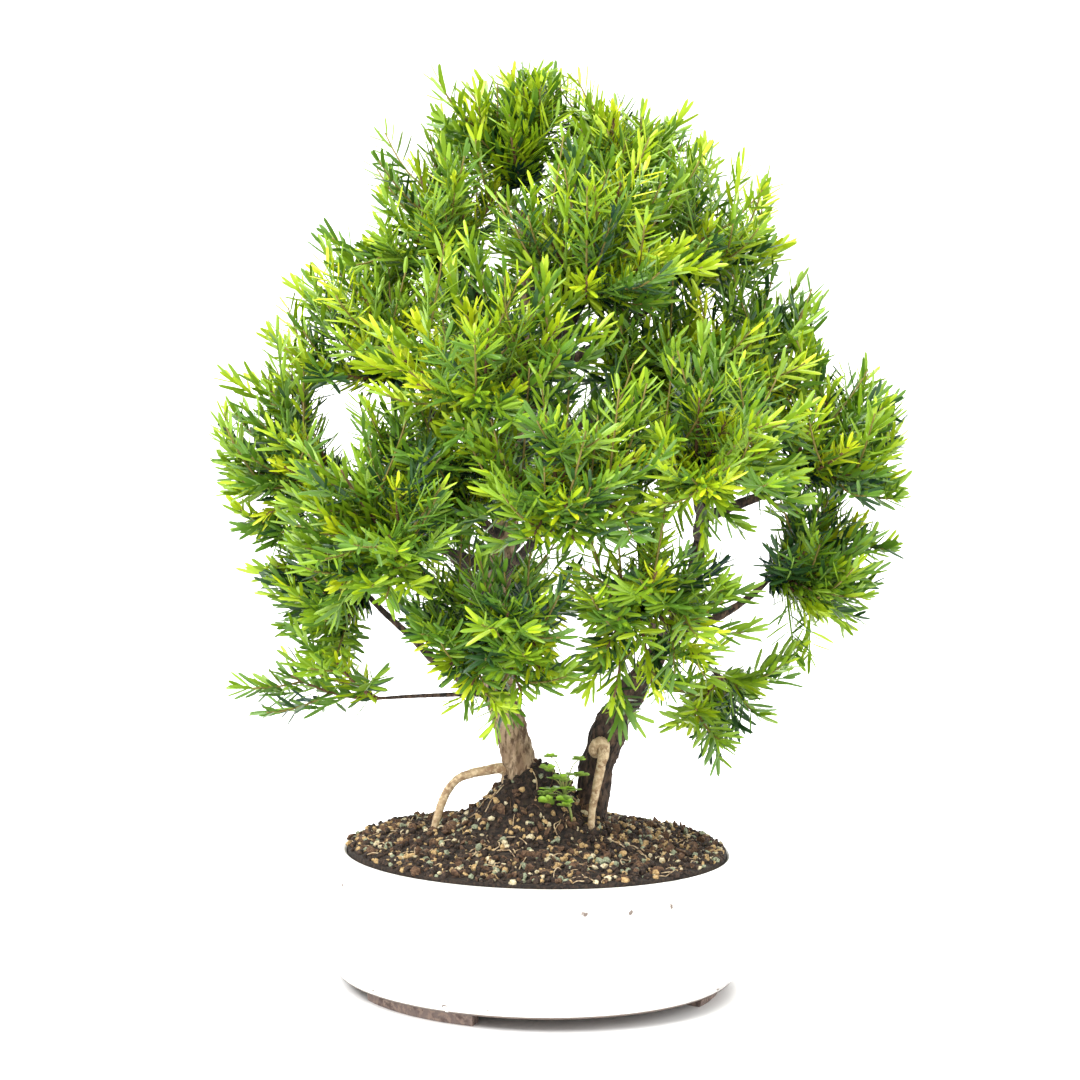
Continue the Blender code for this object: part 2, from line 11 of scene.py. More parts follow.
import bpy
import numpy as np
from mathutils import Matrix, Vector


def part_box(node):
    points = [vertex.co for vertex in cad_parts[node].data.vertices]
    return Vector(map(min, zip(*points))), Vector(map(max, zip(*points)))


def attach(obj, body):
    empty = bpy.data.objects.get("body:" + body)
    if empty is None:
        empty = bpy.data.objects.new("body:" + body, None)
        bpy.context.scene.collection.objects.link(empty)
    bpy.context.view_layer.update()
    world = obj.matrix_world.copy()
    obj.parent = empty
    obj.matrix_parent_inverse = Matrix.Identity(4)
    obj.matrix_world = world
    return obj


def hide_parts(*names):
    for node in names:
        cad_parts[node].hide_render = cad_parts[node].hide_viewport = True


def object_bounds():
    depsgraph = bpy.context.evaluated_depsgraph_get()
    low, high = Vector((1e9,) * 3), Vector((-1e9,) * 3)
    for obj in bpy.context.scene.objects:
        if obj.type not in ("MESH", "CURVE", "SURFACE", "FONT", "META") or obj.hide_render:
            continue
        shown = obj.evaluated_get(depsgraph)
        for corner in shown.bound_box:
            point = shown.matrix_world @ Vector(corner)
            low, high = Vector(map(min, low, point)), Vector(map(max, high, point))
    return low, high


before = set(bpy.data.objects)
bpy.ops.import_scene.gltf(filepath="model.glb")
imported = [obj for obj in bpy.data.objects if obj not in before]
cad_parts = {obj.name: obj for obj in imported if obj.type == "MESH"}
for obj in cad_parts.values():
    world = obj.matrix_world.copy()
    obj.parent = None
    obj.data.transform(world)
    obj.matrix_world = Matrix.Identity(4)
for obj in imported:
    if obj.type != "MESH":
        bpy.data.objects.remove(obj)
cad_low, cad_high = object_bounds()

MM = 0.001
TAU = math.tau
UP = np.array([0.0, 0.0, 1.0])
pot_low, pot_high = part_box("pot")
POT_AXIS = np.array([(pot_low.x + pot_high.x) / 2, (pot_low.y + pot_high.y) / 2, 0.0])
BOX_LOW = (np.array(cad_low) - POT_AXIS) / MM
BOX_HIGH = (np.array(cad_high) - POT_AXIS) / MM
picker = np.random.default_rng(11)

# The pot
POT_HEIGHT = 88
POT_BELLY_RADIUS = 141
POT_MOUTH_RADIUS = 124.7
POT_BASE_RADIUS = 130
POT_FOOT_HEIGHT = 9
POT_FLOOR = 16
POT_SHOULDER = 78
FOOT_RADIUS = 122
FOOT_WIDTH = 11
FOOT_ARC = math.radians(42)
FOOT_DIRECTIONS = [math.radians(231 + 120 * k) for k in range(3)]
FOOT_EDGE = 0.8
FOOT_IN_GLAZE = 1.5
STUDS_A_ROW = 30
# Each row of studs, as (height, distance from the axis, smallest and largest half-width)
STUD_ROWS = ((75.5, 138.4, 4.4, 5.8), (13.5, 131.6, 3.4, 4.2))
STUD_HEIGHT = 3.7
STUD_SEAT = 0.9

# The soil
SOIL_LEVEL = 86
MOUND_CENTRE = np.array([-3.0, 0.0])
# The mound's two bells, as (height, reach), and the soil's roughness, as (height, size of lumps)
MOUND_SHAPES = ((40, 33), (20, 95))
SOIL_ROUGHNESS = ((1.2, 14), (1.1, 6), (0.8, 2.5))

# Trunks, as (x, y, z, radius)
TRUNKS = {
    "trunk_left": (
        (-12, 0, 112, 17), (-12, 0, 127, 14.5), (-12, 0, 133, 12), (-13, 0, 146, 10.4),
        (-19, 0, 168, 10.2), (-26, 1, 190, 10), (-31, 3, 225, 8.4), (-28, 4, 270, 7.4),
        (-20, 3, 325, 6.2), (-14, 0, 385, 5), (-14, -2, 440, 3.8), (-17, 0, 486, 2.8),
        (-18, 1, 505, 2.2),
    ),
    "trunk_right": (
        (33, -2, 95, 15), (34, -2, 103, 12.5), (34, -2, 109, 10.4), (36, -2, 128, 9.4),
        (40, -1, 150, 10.4), (46, 0, 170, 10.8), (56, 1, 187, 8.6), (74, 2, 214, 6.8),
        (93, 4, 248, 5.8), (103, 5, 290, 4.8), (106, 5, 328, 3.8), (108, 4, 356, 3),
        (110, 4, 375, 2.2),
    ),
}

# Masses of foliage: the hub, the furthest tips, the limb that the bough leaves, and its climb
MASSES = {
    "crown_top": ((-18, 2, 520), ((-27, 0, 604), (-58, -18, 574), (-5, 20, 592)), None, 0),
    "crown_top_right": ((40, 10, 508), ((20, 22, 586), (40, -20, 574), (70, 14, 568)), "trunk_left", 1.0),
    "crown_upper_left": ((-64, 4, 468), ((-88, 0, 542), (-62, -46, 526), (-86, 48, 512)), "trunk_left", 0.9),
    "crown_upper_right": ((84, 0, 462), ((100, 0, 543), (133, -12, 500), (104, 50, 515)), "trunk_left", 0.7),
    "crown_right_upper": ((112, 4, 390), ((138, 24, 453), (145, -22, 437), (179, 10, 412)), None, 0),
    "crown_left_shoulder": ((-102, 4, 396), ((-149, 0, 452), (-113, 30, 474), (-118, -44, 462)),
                            "trunk_left", 0.6),
    "crown_left": ((-136, -4, 328), ((-181, -20, 394), (-212, 0, 353), (-188, 44, 350), (-196, -42, 320)),
                   "trunk_left", 0.5),
    "crown_left_low": ((-116, 8, 254), ((-182, 10, 275), (-152, -24, 233), (-150, 50, 262)),
                       "trunk_left", 0.8),
    "crown_left_hanging": ((-106, -6, 186), ((-174, -4, 206),), "bough_crown_left_low", -0.1),
    "crown_centre_left": ((-62, -42, 330), ((-56, -104, 354), (-74, -64, 384), (-42, -100, 300)),
                          "trunk_left", 0.6),
    "crown_centre_right": ((60, -26, 396), ((60, -84, 424), (98, -34, 436), (84, -70, 384)),
                           "trunk_left", 0.6),
    "crown_right": ((166, -2, 338), ((220, 0, 397), (231, -14, 361), (205, 48, 372), (186, -20, 404)),
                    "trunk_right", 0.5),
    "crown_right_low": ((150, 2, 270), ((214, 6, 312), (197, -34, 284), (194, 40, 270), (182, -4, 242)),
                        "trunk_right", 0.9),
    "crown_right_hanging": ((116, -18, 206), ((142, -16, 196), (94, -34, 172), (134, 20, 182)),
                            "bough_crown_right_low", 0.1),
    "crown_front_top": ((24, -56, 448), ((31, -90, 512), (46, -72, 530), (66, -98, 476), (-10, -76, 504)),
                        "trunk_left", 0.8),
    "crown_front_upper": ((-38, -82, 384), ((-35, -134, 432), (-84, -102, 436), (12, -124, 436)),
                          "trunk_left", 0.6),
    "crown_front_left": ((-88, -84, 290), ((-92, -148, 306), (-128, -100, 346), (-132, -92, 270)),
                         "trunk_left", 0.5),
    "crown_front": ((8, -104, 322), ((15, -182, 330), (4, -158, 376), (48, -164, 352)), "trunk_left", 0.5),
    "crown_front_right": ((92, -84, 340), ((92, -124, 394), (96, -150, 330), (144, -84, 356)),
                          "trunk_right", 0.5),
    "crown_front_low": ((-28, -80, 238), ((-19, -148, 262), (-78, -108, 232), (6, -130, 216)),
                        "trunk_left", 0.35),
    "crown_front_low_right": ((58, -76, 262), ((68, -154, 288), (43, -100, 190), (114, -88, 262)),
                              "trunk_right", 0.4),
}
# The crown's far side repeats its near side, turned over front to back
FAR_SIDE = {
    "crown_front_top": "crown_back_top",
    "crown_front_upper": "crown_back_upper",
    "crown_front_left": "crown_back_left",
    "crown_front": "crown_back",
    "crown_front_right": "crown_back_right",
    "crown_front_low": "crown_back_low",
}
FAR_TURN = np.array([1, -0.94, 1])
FAR_SHIFT = np.array([6, 0, 8])
THIN_MASSES = ("crown_left_hanging", "crown_right_hanging")

# Each piece of the crown holds the sprays of these masses
CROWN_PIECES = {
    "top": ("crown_top", "crown_top_right", "crown_upper_left", "crown_upper_right", "crown_right_upper"),
    "left": ("crown_left_shoulder", "crown_left", "crown_left_low", "crown_left_hanging"),
    "centre": ("crown_centre_left", "crown_centre_right", "crown_front_top", "crown_front_upper"),
    "right": ("crown_right", "crown_right_low", "crown_right_hanging", "crown_front_low_right"),
    "front": ("crown_front_left", "crown_front", "crown_front_right", "crown_front_low"),
    "back": ("crown_back_top", "crown_back_upper", "crown_back_left", "crown_back",
             "crown_back_right", "crown_back_low"),
}

# How many more twigs fill a mass, how widely they spread, and the least share of its reach that they have.
# High masses are narrower, so that the crown comes to a point.
EXTRA_TWIGS = 8
THIN_EXTRA_TWIGS = 1
MASS_SPREAD = math.radians(64)
MASS_REACH = 0.78
HIGH_HUB = 500
HIGH_SPREAD = math.radians(36)
HIGH_REACH = 0.58
HIGH_SHOOTS = 0.72
GOLDEN_ANGLE = math.radians(137.508)
GOLDEN_RATIO = 0.618034
# Boughs, and the twigs and shoots that they end in, with radii at the base and at the tip
BOUGH_STEPS = 46
BOUGH_SIDES = 14
BOUGH_RADII = (4.2, 1.6)
THIN_BOUGH_RADII = (1.7, 1.0)
SPRAY_LENGTH = 78
TWIG_STOP = 9
TWIG_RADII = (1.5, 0.7)
SHOOT_RADII = (0.85, 0.5)
# A leader bears green needles on its last stretch and old ones further in, dark partly with age and partly
# as painted shade inside the crown. Side shoots leave it at these parts of its length.
LEADER_NEEDLES = 40
LEADER_GREEN = 62
INNER_NEEDLES = 16
SIDE_SHOOTS = (0.36, 0.54, 0.7, 0.84)
SIDE_LENGTH = 56
SIDE_LEAN = math.radians(50)
SIDE_NEEDLES = 19
NEEDLE_LENGTH = 21
NEEDLE_WIDTH = 3.0
# Parts of a shoot, and how long its needles are there as a share of the full length
NEEDLE_GROWTH = ((0, 0.2, 0.45, 0.8, 1), (0.62, 0.9, 1, 0.92, 0.6))
# Ages are places in the list of needle tones, 0 the newest. The higher a shoot stands over the crown's foot,
# the newer its growth.
LEADER_AGE = 1.9
SHOOT_AGE = 4.3
# Inner needles take the darkest tones, partly for their age and partly as painted shade deep in the crown
INNER_AGE_AND_SHADE = 4.7
CROWN_FOOT = 180
CROWN_HEIGHT = 420
# Room kept inside the CAD model's box by needle tips, and by the shoots that carry them
TIP_ROOM = 2
SHOOT_ROOM = 14


def unit(vectors):
    """Each vector divided by its length."""
    return vectors / np.maximum(np.linalg.norm(vectors, axis=-1, keepdims=True), 1e-12)


def soft_noise(places, cell, seed=0):
    """Smooth noise from -1 to 1: a fixed random value at each corner of a cubic lattice, blended between
    corners with the weight 3t^2 - 2t^3 along each axis."""
    scaled = places / np.asarray(cell, float)
    corner = np.floor(scaled).astype(np.int64)
    part = scaled - corner
    ease = part * part * (3 - 2 * part)
    total = np.zeros(scaled.shape[:-1])
    for step in np.ndindex(2, 2, 2):
        x, y, z = np.moveaxis(corner + step, -1, 0)
        mixed = (x * 73856093) ^ (y * 19349663) ^ (z * 83492791) ^ ((seed + 1) * 2654435761)
        mixed = (mixed ^ (mixed >> 13)) * 1274126177 & 0x7FFFFFFF
        value = ((mixed ^ (mixed >> 16)) & 0xFFFF) / 32767.5 - 1
        total += value * np.prod(np.where(step, ease, 1 - ease), axis=-1)
    return total


def ring_faces(rings, sides):
    """Triangles over rings of points, each ring closed, with one more point at either end: the middle of
    the first ring comes after the last ring's points, and the middle of the last ring after that."""
    k, j = np.meshgrid(np.arange(rings - 1), np.arange(sides), indexing="ij")
    a, b = k * sides + j, k * sides + (j + 1) % sides
    wall = [np.stack([a, b, b + sides], -1), np.stack([a, b + sides, a + sides], -1)]
    j = np.arange(sides)
    following, last = (j + 1) % sides, (rings - 1) * sides
    first_fan = np.stack([np.full(sides, rings * sides), following, j], -1)
    last_fan = np.stack([np.full(sides, rings * sides + 1), last + j, last + following], -1)
    return np.concatenate([part.reshape(-1, 3) for part in (*wall, first_fan, last_fan)])


def with_ends(rings, ends=None):
    """Rings of shape (..., rings, sides, 3) as points, followed by the two end points."""
    if ends is None:
        ends = rings[..., (0, -1), :, :].mean(-2)
    return np.concatenate([rings.reshape(*rings.shape[:-3], -1, 3), ends], -2)


def repeated(points, faces):
    """Copies of one shape, as points of shape (copies, n, 3), with the faces numbered through."""
    shift = np.arange(len(points))[:, None, None] * points.shape[1]
    return points.reshape(-1, 3), (faces[None] + shift).reshape(-1, 3)


def tube_rings(paths, radii, sides):
    """p(k, a) = path(k) + r(k, a)(u cos a + v sin a). u starts as the direction that the bent path is
    square to, so it never lines up with the path; v is square to both."""
    ahead = unit(np.gradient(paths, axis=-2))
    middle = paths[..., paths.shape[-2] // 2, :]
    bow = np.cross(paths[..., -1, :] - paths[..., 0, :], middle - paths[..., 0, :])
    bow = unit(unit(bow) + np.array([0.011, 0.023, 0.007]))[..., None, :]
    u = unit(bow - ahead * (bow * ahead).sum(-1, keepdims=True))
    v = np.cross(ahead, u)
    angle = np.arange(sides) * TAU / sides
    around = u[..., None, :] * np.cos(angle)[:, None] + v[..., None, :] * np.sin(angle)[:, None]
    return paths[..., None, :] + around * np.asarray(radii)[..., None], around


def tubes(paths, radii, sides):
    """Closed round tubes along paths of shape (tubes, points, 3)."""
    rings, _ = tube_rings(paths, np.repeat(radii[..., None], sides, -1), sides)
    return repeated(with_ends(rings), ring_faces(paths.shape[-2], sides))


def bend(start, middle, end, steps):
    """Quadratic curves: (1-t)^2 start + 2t(1-t) middle + t^2 end, at t from 0 to 1."""
    t = np.linspace(0, 1, steps)[:, None]
    start, middle, end = (np.asarray(p, float)[..., None, :] for p in (start, middle, end))
    return (1 - t) ** 2 * start + 2 * t * (1 - t) * middle + t**2 * end


def smooth_line(stations, per_span):
    """A Catmull-Rom curve through rows of numbers, which here are places with a radius."""
    p = np.asarray(stations, float)
    p = np.concatenate([[2 * p[0] - p[1]], p, [2 * p[-1] - p[-2]]])
    t = np.linspace(0, 1, per_span, endpoint=False)[:, None]
    a, b, c, d = (p[k : len(p) - 3 + k, None] for k in range(4))
    curve = 0.5 * (2 * b + (c - a) * t + (2 * a - 5 * b + 4 * c - d) * t**2 + (3 * b - a - 3 * c + d) * t**3)
    return np.concatenate([curve.reshape(-1, p.shape[1]), p[-2:-1]])


def joined(parts):
    """Several (points, faces, slots) as one."""
    points, faces, slots, count = [], [], [], 0
    for some_points, some_faces, some_slots in parts:
        points.append(some_points.reshape(-1, 3))
        faces.append(some_faces + count)
        slots.append(np.broadcast_to(some_slots, len(some_faces)))
        count += len(points[-1])
    return np.concatenate(points), np.concatenate(faces), np.concatenate(slots)


def piece(name, shape, materials, slot, nodes=(), smooth=True, **attributes):
    """Writes a closed mesh in metres, faces outward, which rides on the body and stands for the nodes."""
    points, faces, slots = shape
    a, b, c = (points[faces[:, k]] for k in range(3))
    if np.einsum("ij,ij->", a, np.cross(b, c)) < 0:
        faces = faces[:, ::-1]
    mesh = bpy.data.meshes.new(name)
    mesh.vertices.add(len(points))
    mesh.vertices.foreach_set("co", (points * MM + POT_AXIS).astype(np.float32).ravel())
    mesh.loops.add(faces.size)
    mesh.loops.foreach_set("vertex_index", faces.astype(np.int32).ravel())
    mesh.polygons.add(len(faces))
    mesh.polygons.foreach_set("loop_start", np.arange(0, faces.size, 3, dtype=np.int32))
    for material in materials:
        mesh.materials.append(material)
    mesh.polygons.foreach_set("material_index", np.broadcast_to(slots, len(faces)).astype(np.int32))
    mesh.polygons.foreach_set("use_smooth", np.full(len(faces), smooth))
    for label, values in attributes.items():
        mesh.attributes.new(label, "FLOAT", "POINT").data.foreach_set("value", values.astype(np.float32))
    mesh.update(calc_edges=True)
    mesh.validate()
    obj = bpy.data.objects.new(name, mesh)
    bpy.context.scene.collection.objects.link(obj)
    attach(obj, "root")
    if nodes:
        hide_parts(*nodes)


def linear(hex_colour):
    """An sRGB hex colour as linear red, green, blue and 1."""
    parts = [int(hex_colour[k : k + 2], 16) / 255 for k in (1, 3, 5)]
    return (*(p / 12.92 if p <= 0.04045 else ((p + 0.055) / 1.055) ** 2.4 for p in parts), 1)


def node(tree, kind, inputs=(), **settings):
    """Adds a node, sets its settings, and fills each named input with a value or a link."""
    made = tree.nodes.new(kind)
    for name, value in settings.items():
        setattr(made, name, value)
    for name, value in dict(inputs).items():
        if isinstance(value, bpy.types.NodeSocket):
            tree.links.new(value, made.inputs[name])
        else:
            made.inputs[name].default_value = value
    return made


def new_material(name, colour, roughness, **sockets):
    """A material with one Principled shader; returns it with its tree, shader and Object coordinates."""
    material = bpy.data.materials.new(name)
    material.use_nodes = True
    tree = material.node_tree
    shader = tree.nodes["Principled BSDF"]
    shader.inputs["Base Color"].default_value = linear(colour)
    shader.inputs["Roughness"].default_value = roughness
    for socket, value in sockets.items():
        shader.inputs[socket.replace("_", " ")].default_value = value
    place = node(tree, "ShaderNodeTexCoord").outputs["Object"]
    return material, tree, shader, place


# Which sockets of a Mix node carry its factor, its two colours and its colour result
MIX_FACTOR, MIX_A, MIX_B, MIX_RESULT = 0, 6, 7, 2


def mottled(name, colours, sizes, roughness, bump=0.0, bump_size=1.0, stretch=(1, 1, 1), **sockets):
    """A matt natural surface: the first colour, with patches of each further colour whose sizes are in
    millimetres, and a fine unevenness."""
    material, tree, shader, place = new_material(name, colours[0], roughness, **sockets)
    place = node(tree, "ShaderNodeMapping", {"Vector": place, "Scale": stretch}).outputs[0]
    colour = linear(colours[0])
    for k, (patch, size) in enumerate(zip(colours[1:], sizes)):
        aside = (k * 0.37, k * 0.19, k * 0.53)
        spot = node(tree, "ShaderNodeVectorMath", {0: place, 1: aside}, operation="ADD")
        cloud = node(tree, "ShaderNodeTexNoise", {"Vector": spot.outputs[0], "Scale": 1 / (size * MM),
                                                  "Detail": 5, "Roughness": 0.62})
        mask = node(tree, "ShaderNodeMapRange", {"Value": cloud.outputs[0], "From Min": 0.46,
                                                 "From Max": 0.6})
        mix = node(tree, "ShaderNodeMix", {MIX_FACTOR: mask.outputs[0], MIX_A: colour, MIX_B: linear(patch)},
                   data_type="RGBA")
        colour = mix.outputs[MIX_RESULT]
    tree.links.new(colour, shader.inputs["Base Color"])
    if bump:
        fine = node(tree, "ShaderNodeTexNoise", {"Vector": place, "Scale": 1 / (bump_size * MM), "Detail": 6,
                                                 "Roughness": 0.7})
        relief = node(tree, "ShaderNodeBump", {"Height": fine.outputs[0], "Strength": bump,
                                               "Distance": 0.4 * MM * bump_size})
        tree.links.new(relief.outputs[0], shader.inputs["Normal"])
    return material


# Yew leaves, with a waxy skin: a soft sheen, and a plain colour for each age of growth. The darkest tones
# also serve as painted shade on the needles deep inside the crown
NEEDLE_TONES = [
    new_material("yew_leaf_" + age, colour, 0.42, Specular_IOR_Level=0.42)[0]
    for age, colour in (
        ("newest", "#B9C61A"), ("new", "#9AB318"), ("spring", "#76971B"), ("summer", "#52781E"),
        ("old", "#26481E"), ("oldest", "#1B3B2E"),
    )
]
# Young yew shoots are still green, and the twigs behind them have thin brown bark
TWIG_TONES = [
    new_material("yew_shoot_green", "#6E9030", 0.5)[0],
    new_material("yew_twig_turning", "#76692F", 0.7)[0],
    new_material("yew_twig_brown", "#6A4C35", 0.85)[0],
]
# Yew bark, dry and flaking: tan plates over darker, redder cracks
tan_bark = mottled("yew_bark_tan", ("#9B8468", "#7A624B", "#B09A7E", "#55412F"), (14, 6, 3), 0.88,
                   bump=0.9, bump_size=1.6, stretch=(1, 1, 0.35))
# The same bark, damp and shaded, almost black in its cracks
dark_bark = mottled("yew_bark_dark", ("#3F3026", "#241B15", "#5C4838", "#15100D"), (11, 6, 2.5), 0.9,
                    bump=0.9, bump_size=1.6, stretch=(1, 1, 0.4))
# Bare root, worn smooth and pale
root_bark = mottled("yew_root_bare", ("#B09673", "#8A6E50", "#CDB894"), (8, 3), 0.8,
                    bump=0.6, bump_size=1.2)
# Peaty compost: almost black, crumbly, no shine
compost = mottled("compost_peat", ("#221A15", "#120E0B", "#3A2D22"), (6, 2.2), 0.97, bump=1.0, bump_size=2.0)


GLAZE_THICK = "#F1F0EC"
GLAZE_THIN = "#DEDBD3"
WATER_STAIN = "#A98C58"
BODY_CLAY = "#6F625A"


def glaze_material():
    """White glaze over stoneware, poured thick: glossy, a little uneven, stained where water runs."""
    material, tree, shader, place = new_material("white_glaze_poured", "#EDEBE6", 0.2, Coat_Weight=0.35,
                                                 Coat_Roughness=0.08)
    cloud = node(tree, "ShaderNodeTexNoise", {"Vector": place, "Scale": 1 / (30 * MM), "Detail": 4})
    tint = node(tree, "ShaderNodeMix", {MIX_FACTOR: cloud.outputs[0], MIX_A: linear(GLAZE_THICK),
                                        MIX_B: linear(GLAZE_THIN)}, data_type="RGBA")
    # Rust-brown water marks below the studs, and body clay where the glaze has chipped
    drip = node(tree, "ShaderNodeAttribute", attribute_name="drip").outputs["Fac"]
    grain = node(tree, "ShaderNodeTexNoise", {"Vector": place, "Scale": 1 / (3 * MM), "Detail": 5})
    ragged = grain.outputs[0]
    broken = node(tree, "ShaderNodeMath", {0: drip, 1: ragged}, operation="MULTIPLY")
    mask = node(tree, "ShaderNodeMapRange", {"Value": broken.outputs[0], "From Min": 0.12, "From Max": 0.5,
                                             "To Max": 0.85})
    stained = node(tree, "ShaderNodeMix", {MIX_FACTOR: mask.outputs[0], MIX_A: tint.outputs[MIX_RESULT],
                                           MIX_B: linear(WATER_STAIN)}, data_type="RGBA")
    chip = node(tree, "ShaderNodeAttribute", attribute_name="chip").outputs["Fac"]
    worn = node(tree, "ShaderNodeMath", {0: chip, 1: ragged}, operation="MULTIPLY")
    bare = node(tree, "ShaderNodeMapRange", {"Value": worn.outputs[0], "From Min": 0.3, "From Max": 0.36})
    chipped = node(tree, "ShaderNodeMix", {MIX_FACTOR: bare.outputs[0], MIX_A: stained.outputs[MIX_RESULT],
                                           MIX_B: linear(BODY_CLAY)}, data_type="RGBA")
    tree.links.new(chipped.outputs[MIX_RESULT], shader.inputs["Base Color"])
    matt = node(tree, "ShaderNodeMapRange", {"Value": bare.outputs[0], "To Min": 0.2, "To Max": 0.8})
    tree.links.new(matt.outputs[0], shader.inputs["Roughness"])
    wave = node(tree, "ShaderNodeTexNoise", {"Vector": place, "Scale": 1 / (14 * MM), "Detail": 2})
    relief = node(tree, "ShaderNodeBump", {"Height": wave.outputs[0], "Strength": 0.5, "Distance": 0.5 * MM})
    tree.links.new(relief.outputs[0], shader.inputs["Normal"])
    return material


def pot():
    """The drum: its profile turned round the axis, with how wet and how chipped each point is. A drip is a
    bell across, exp(-(x/w)^2), that fades downwards as exp(-y/l); a chip is a bell exp(-(r/s)^2)."""
    profile = (
        (0.5, POT_FLOOR), (POT_MOUTH_RADIUS - 4, POT_FLOOR), (POT_MOUTH_RADIUS - 0.5, POT_FLOOR + 5),
        (POT_MOUTH_RADIUS, POT_HEIGHT - 12), (POT_MOUTH_RADIUS, POT_HEIGHT - 3),
        (POT_MOUTH_RADIUS + 1, POT_HEIGHT - 0.8), (POT_MOUTH_RADIUS + 3, POT_HEIGHT),
        (POT_MOUTH_RADIUS + 6, POT_HEIGHT - 1.5), (POT_BELLY_RADIUS - 6, POT_SHOULDER + 4),
        (POT_BELLY_RADIUS - 3.3, POT_SHOULDER), (POT_BELLY_RADIUS - 0.6, POT_SHOULDER - 12),
        (POT_BELLY_RADIUS, POT_HEIGHT / 2 + 6), (POT_BELLY_RADIUS - 1, POT_HEIGHT / 3),
        (POT_BASE_RADIUS + 6, POT_FOOT_HEIGHT + 8), (POT_BASE_RADIUS + 2, POT_FOOT_HEIGHT + 2.6),
        (POT_BASE_RADIUS, POT_FOOT_HEIGHT), (POT_BASE_RADIUS - 2, POT_FOOT_HEIGHT),
        (POT_BASE_RADIUS - 12, POT_FOOT_HEIGHT), (0.5, POT_FOOT_HEIGHT),
    )
    radius, height = smooth_line(profile, 7).T
    sides = 480
    angle = np.arange(sides) * TAU / sides
    around = np.stack([np.cos(angle), np.sin(angle), 0 * angle], -1)
    rings = radius[:, None, None] * around + height[:, None, None] * UP
    drip = np.zeros(rings.shape[:2])
    chip = np.zeros(rings.shape[:2])
    outer = (radius[:, None] > POT_MOUTH_RADIUS + 4) & (height[:, None] > POT_FOOT_HEIGHT)
    for row, (level, row_radius, _, _) in enumerate(STUD_ROWS):
        for k in range(STUDS_A_ROW):
            direction = TAU * (k + 0.5) / STUDS_A_ROW
            aside = row_radius * (np.mod(angle - direction + math.pi, TAU) - math.pi)[None]
            below = level - height[:, None]
            # Water has run most on the left: 0 at the pot's right side, 1 at its left
            leftness = 0.5 - 0.5 * math.cos(direction)
            wet = picker.random() * (0.35 + 0.65 * leftness)
            run = 6 + 24 * wet * picker.random()
            streak = np.exp(-((aside / (1.4 + 1.6 * wet)) ** 2)) * np.exp(-np.maximum(below, 0) / run)
            drip = np.maximum(drip, np.where(outer & (below > -2), streak * (0.3 + wet), 0) * (row == 0))
            size = 1.6 + 1.4 * picker.random()
            worn = np.exp(-((aside**2 + below**2) / size**2))
            chip = np.maximum(chip, np.where(outer, worn * (0.6 + 0.8 * picker.random()), 0))
    # The glaze stops just above the foot, and bare clay shows below it
    chip = np.where(height[:, None] < POT_FOOT_HEIGHT + 1.3, 1.5, chip)
    shape = with_ends(rings)
    drips = np.append(drip.ravel(), [0, 0])
    chips = np.append(chip.ravel(), [0, 0])
    return shape, ring_faces(len(radius), sides), drips, chips


def studs():
    """Soft knobs along both rims: rings round each stud's own axis, s half-widths out from it and
    H cos(pi s / 2)^1.6 high, where s goes from 1 at the foot, which is sunk in the wall, to 0.08."""
    rings, sides = 8, 14
    s = np.linspace(1, 0.08, rings)
    angle = np.arange(sides) * TAU / sides
    made, chips = [], []
    for level, row_radius, narrowest, widest in STUD_ROWS:
        for k in range(STUDS_A_ROW):
            direction = TAU * (k + 0.5) / STUDS_A_ROW
            out = np.array([math.cos(direction), math.sin(direction), 0])
            side = np.array([-out[1], out[0], 0])
            wide = picker.uniform(narrowest, widest)
            flat = s[:, None, None] * wide * (np.cos(angle)[:, None] * side + np.sin(angle)[:, None] * UP)
            rise = (STUD_HEIGHT * np.cos(math.pi / 2 * s) ** 1.6 - STUD_SEAT)[:, None, None] * out
            dome = out * row_radius + UP * level + flat + rise
            made.append(with_ends(dome))
            worn = np.repeat(picker.choice([0.2, 0.55, 0.75]) * (1 - s) ** 0.6, sides)
            chips.append(np.append(worn, [0, worn[-1]]))
    points, faces = repeated(np.array(made), ring_faces(rings, sides))
    return points, faces, np.concatenate(chips)


def feet():
    """Arcs of bare clay: a rounded box section carried round the axis."""
    steps = 40
    top = POT_FOOT_HEIGHT + FOOT_IN_GLAZE
    section = np.array([(0, FOOT_EDGE), (FOOT_EDGE, 0), (FOOT_WIDTH - FOOT_EDGE, 0), (FOOT_WIDTH, FOOT_EDGE),
                        (FOOT_WIDTH + 1, top), (-1, top)])
    made = []
    for direction in FOOT_DIRECTIONS:
        angle = direction + np.linspace(-FOOT_ARC / 2, FOOT_ARC / 2, steps)
        out = np.stack([np.cos(angle), np.sin(angle), 0 * angle], -1)[:, None]
        made.append(with_ends((FOOT_RADIUS - section[:, :1]) * out + section[:, 1:] * UP))
    return repeated(np.array(made), ring_faces(steps, len(section)))


def mound(places):
    """The soil's height: two bell shapes on a level bed, with crumbs and hollows that die out at the rim."""
    away = np.linalg.norm(places[..., :2] - MOUND_CENTRE, axis=-1)
    rise = sum(top * np.exp(-((away / reach) ** 2)) for top, reach in MOUND_SHAPES)
    flat = np.concatenate([places[..., :2], np.zeros_like(places[..., :1])], -1)
    rough = sum(high * soft_noise(flat, size, seed) for seed, (high, size) in enumerate(SOIL_ROUGHNESS, 1))
    edge = np.clip((POT_MOUTH_RADIUS - np.linalg.norm(places[..., :2], axis=-1)) / 14, 0.3, 1)
    return SOIL_LEVEL + rise + rough * edge


